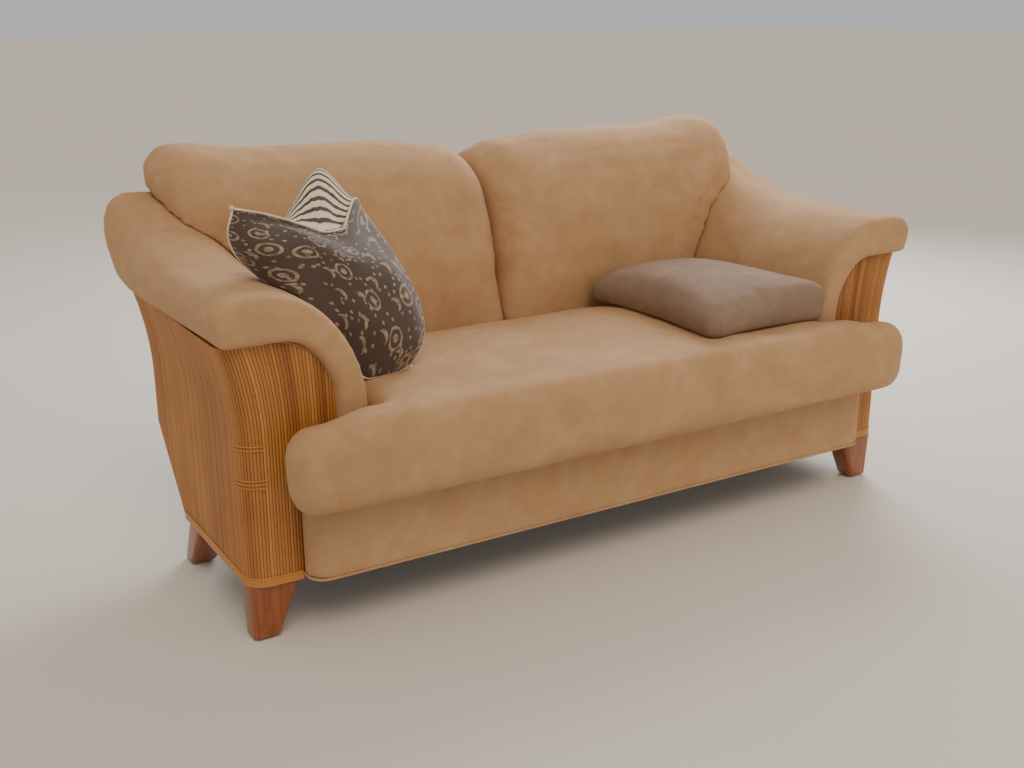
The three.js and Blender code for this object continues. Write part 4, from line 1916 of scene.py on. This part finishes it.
    def between_seams(self, u: float, v: float, fade: float) -> Vector:
        """Gives a point of the surface that is spanned between the four seams.

        Args:
            u: The share of the way from the left seam to the right one.
            v: The share of the way from the lower seam to the upper one.
            fade: How fast the right seam's pull fades away from it.

        Returns:
            The point.
        """
        low = self.bottom[0].lerp(self.bottom[-1], u)
        high = self.top[0].lerp(self.top[-1], u)
        place = low.lerp(high, v)
        place += (along(self.bottom, u) - low) * (1 - v) ** self.fade
        place += (along(self.top, u) - high) * v**self.fade
        place += (along(self.left, v) - self.left[0].lerp(self.left[-1], v)) * (1 - u) ** self.fade
        place += (along(self.right, v) - self.right[0].lerp(self.right[-1], v)) * u**fade
        return place

    def clear_of_arm(self, place: Vector) -> Vector:
        """Lifts a point that would lie in the arm or the seat.

        Args:
            place: The point, which is moved.

        Returns:
            The same point.
        """
        x = (place.x - self.arm_centre[0]) / self.arm_reach[0]
        z = (place.z - self.arm_centre[1]) / self.arm_reach[1]
        reach = math.hypot(max(x, 0.0), z)
        if x > 0 and z > 0 and reach < self.clear:
            push = self.clear / max(reach, self.core)
            place.x = self.arm_centre[0] + x * push * self.arm_reach[0]
            place.z = self.arm_centre[1] + z * push * self.arm_reach[1]
        place.z = max(place.z, SEAT_CROWN + self.rest)
        return place

    def slump(self, flat: Vector, co: Vector) -> Vector:
        """Places a point of the puffed cushion in the sofa's corner.

        Args:
            flat: The point's place on the flat cushion.
            co: Its place on the puffed cushion.

        Returns:
            Its place on the sofa.
        """
        u = min(max(flat.x / self.half / 2 + 0.5, 0.0), 1.0)
        v = min(max(flat.y / self.half / 2 + 0.5, 0.0), 1.0)
        out = self.facing.normalized() * co.z
        if flat.z > 0:
            place = self.between_seams(u, v, self.fade + self.fold_fade * ramp(v, *self.fold_from))
            left, more = self.top_flat
            place += out * math.sin(math.pi / 2 * ramp(1 - v, 0.0, left + more * u))
            wide, low, high = self.overhang_reach
            lap = math.sin(math.pi * ramp(u, 0.0, wide)) * ramp(v, 0.0, low) * ramp(1 - v, 0.0, high)
            place += self.overhang * lap
        else:
            right, up = self.rise_skew
            over = math.sin(math.pi * ramp(v, *self.rise_from) ** up)
            stand = math.sin(math.pi * u**right) ** self.rise_sharp * over
            place = self.between_seams(u, v, self.fade)
            place += out * ramp(u, 0.0, self.rear_flat) + self.rise_way * self.rise * stand
        place.z -= self.belly * math.sin(math.pi * u**self.belly_skew) * (1 - v) ** 2
        return self.clear_of_arm(place)

    def seam_pairs(self, flat: bmesh.types.BMesh) -> list[list[int]]:
        """Lists the front and rear vertex of each point of the seam, in order round the cushion.

        Args:
            flat: The flat cushion.

        Returns:
            Pairs of vertex numbers.
        """
        points: dict[Pair, list[int]] = {}
        flat.verts.index_update()
        for vert in flat.verts:
            if max(abs(vert.co.x), abs(vert.co.y)) > self.half - SAME:
                place = (round(vert.co.x, DECIMALS), round(vert.co.y, DECIMALS))
                points.setdefault(place, []).append(vert.index)
        return [points[key] for key in sorted(points, key=self.turn_of)]

    def turn_of(self, point: Pair) -> float:
        """How far round the cushion a point of the seam lies."""
        return math.atan2(point[1], point[0])

    def knots(self, corners: Sequence[Vector], middle: Vector) -> Object:
        """Ties a small knot of cord at each corner.

        Args:
            corners: Where the corners are.
            middle: The cushion's middle.

        Returns:
            The knots as one object.
        """
        bm = bmesh.new()
        for corner in corners:
            made = bmesh.ops.create_icosphere(bm, subdivisions=3, radius=self.knot)["verts"]
            at = corner + (corner - middle).normalized() * self.knot * self.knot_out
            for vert in made:
                vert.co *= 1 + self.knot_rough * noise.noise(vert.co * self.knot_grain + corner)
            bmesh.ops.translate(bm, verts=made, vec=at)
        return to_object(bm, "throw_cushion_knots")

    def build(self) -> None:
        """Builds the cushion, its piping and its knots."""
        flat = self.sewn()
        pairs = self.seam_pairs(flat)
        piece = to_object(flat, "throw_cushion_cover")
        starts = [vert.co.copy() for vert in piece.data.vertices]
        for vert, start, co in zip(piece.data.vertices, starts, self.puffed(piece)):
            vert.co = self.slump(start, co)
        for finish in (PRINT, STRIPES, CREAM_CORD):
            piece.data.materials.append(finish.material())
        settle(piece, None, ["throw_cushion"])
        verts = piece.data.vertices
        ring = [sum((verts[i].co for i in pair), Vector()) / len(pair) for pair in pairs]
        piping = cord_along("throw_cushion_piping", [ring], self.piping, closed=True)
        settle(piping, CREAM_CORD)
        corners = [
            point
            for point, pair in zip(ring, pairs)
            if min(abs(starts[pair[0]].x), abs(starts[pair[0]].y)) > self.half - SAME
        ]
        middle = sum(ring, Vector()) / len(ring)
        settle(self.knots(corners, middle), CREAM_CORD)


# Carried-over solids


@dataclass
class Frame:
    """The rails, deck, linings, glides and rattan backing, which keep their solids."""

    def build(self) -> None:
        """Gives each carried-over node its finish."""
        finishes = {
            "rail": RAIL_WOOD,
            "seat_deck": BLACK_CLOTH,
            "dust_cover": BLACK_CLOTH,
            "glide": GLIDE_PLASTIC,
            "corner_post": BACKING,
            "side_panel": BACKING,
            "front_panel": BACKING,
            "base_band": WRAP,
        }
        for start, finish in finishes.items():
            for node in bpy.data.objects:
                if node.get("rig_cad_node", "").startswith(start):
                    node.data.materials.clear()
                    node.data.materials.append(finish.material())


# Scene


@dataclass
class Studio:
    """The plain floor, the soft lights and the camera at the photograph's viewing angle.

    Attributes:
        floor_half: Half of the floor's side.
        aimed_at: What the lights are aimed at.
        sky: The sky's colour.
        sky_strength: How bright it is.
        camera_at: Where the camera stands.
        turn_deg: How far it is turned to its left, so less than nought is to its right.
        dip_deg: How far it looks up from level, so less than nought is down.
        lens_mm: Its focal length.
    """

    floor_half: float = 60.0
    aimed_at: Vector = Vector((0, 0, 0.45))
    sky: str = "EFF2F5"
    sky_strength: float = 0.62
    camera_at: Vector = Vector((-1.484, -2.277, 1.160))
    turn_deg: float = -31.7
    dip_deg: float = -17.4
    lens_mm: float = 42.0

    def floor(self) -> None:
        """Lays the floor."""
        bm = bmesh.new()
        bmesh.ops.create_grid(bm, x_segments=1, y_segments=1, size=self.floor_half)
        floor = to_object(bm, "studio_floor")
        floor.data.materials.append(FLOOR.material())

    def aim(self, name: str, data: bpy.types.Light, at: Vector, colour: str) -> None:
        """Hangs a light aimed at the sofa.

        Args:
            name: The light's name.
            data: The light.
            at: Where it hangs.
            colour: Its colour.
        """
        data.color = linear(colour)[:3]
        lamp = bpy.data.objects.new(name, data)
        lamp.location = at
        lamp.rotation_mode = "QUATERNION"
        lamp.rotation_quaternion = (self.aimed_at - at).to_track_quat("-Z", "Y")
        bpy.context.scene.collection.objects.link(lamp)

    def sun(self, name: str, at: Vector, spread_deg: float, strength: float, colour: str) -> None:
        """Adds a wide soft light that lights the whole floor evenly.

        Args:
            name: The light's name.
            at: The side that it comes from.
            spread_deg: How wide it is, seen from the sofa.
            strength: How strong it is.
            colour: Its colour.
        """
        data = bpy.data.lights.new(name, "SUN")
        data.angle = math.radians(spread_deg)
        data.energy = strength
        self.aim(name, data, at, colour)

    def panel(self, name: str, at: Vector, size: float, power: float, colour: str) -> None:
        """Adds one large soft panel light.

        Args:
            name: The light's name.
            at: Where it hangs.
            size: Its side.
            power: Its power in watts.
            colour: Its colour.
        """
        data = bpy.data.lights.new(name, "AREA")
        data.shape = "SQUARE"
        data.size = size
        data.energy = power
        self.aim(name, data, at, colour)

    def view(self) -> None:
        """Stands the camera where the photograph was taken from."""
        data = bpy.data.cameras.new("photo_view")
        data.lens = self.lens_mm
        camera = bpy.data.objects.new("photo_view", data)
        camera.location = self.camera_at
        camera.rotation_mode = "QUATERNION"
        turn = Quaternion((0, 0, 1), math.radians(self.turn_deg))
        dip = Quaternion((1, 0, 0), math.radians(90 + self.dip_deg))
        camera.rotation_quaternion = turn @ dip
        bpy.context.scene.collection.objects.link(camera)
        bpy.context.scene.camera = camera

    def build(self) -> None:
        """Builds the floor, the lights, the sky and the camera."""
        self.floor()
        self.sun("key", Vector((-0.6, -2.3, 3.8)), spread_deg=35.0, strength=1.2, colour="FFE9CE")
        self.panel("window", Vector((2.2, 1.9, 2.4)), size=2.0, power=125.0, colour="F4F8FF")
        self.panel("fill", Vector((3.0, -3.2, 1.8)), size=3.0, power=15.0, colour="FFF8F0")
        world = bpy.data.worlds.new("studio")
        world.use_nodes = True
        background = world.node_tree.nodes["Background"]
        background.inputs["Color"].default_value = linear(self.sky)
        background.inputs["Strength"].default_value = self.sky_strength
        bpy.context.scene.world = world
        self.view()


def main() -> None:
    """Builds every part of the sofa in order."""
    logging.basicConfig(level=logging.INFO, format="%(message)s")
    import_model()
    Studio().build()
    Frame().build()
    for side in Side:
        ReedWall(side).build()
        Foot(side, "front", near=-0.293, near_sole=-0.285).build()
        Foot(side, "rear", near=0.026, near_sole=0.106).build()
        ArmPad(side).build()
        BackPad(side).build()
        RearInfill(side).build()
    BackShell().build()
    Apron().build()
    SeatCushion().build()
    PlainCushion().build()
    ThrowCushion().build()
    bpy.context.view_layer.update()


if __name__ == "__main__":
    main()
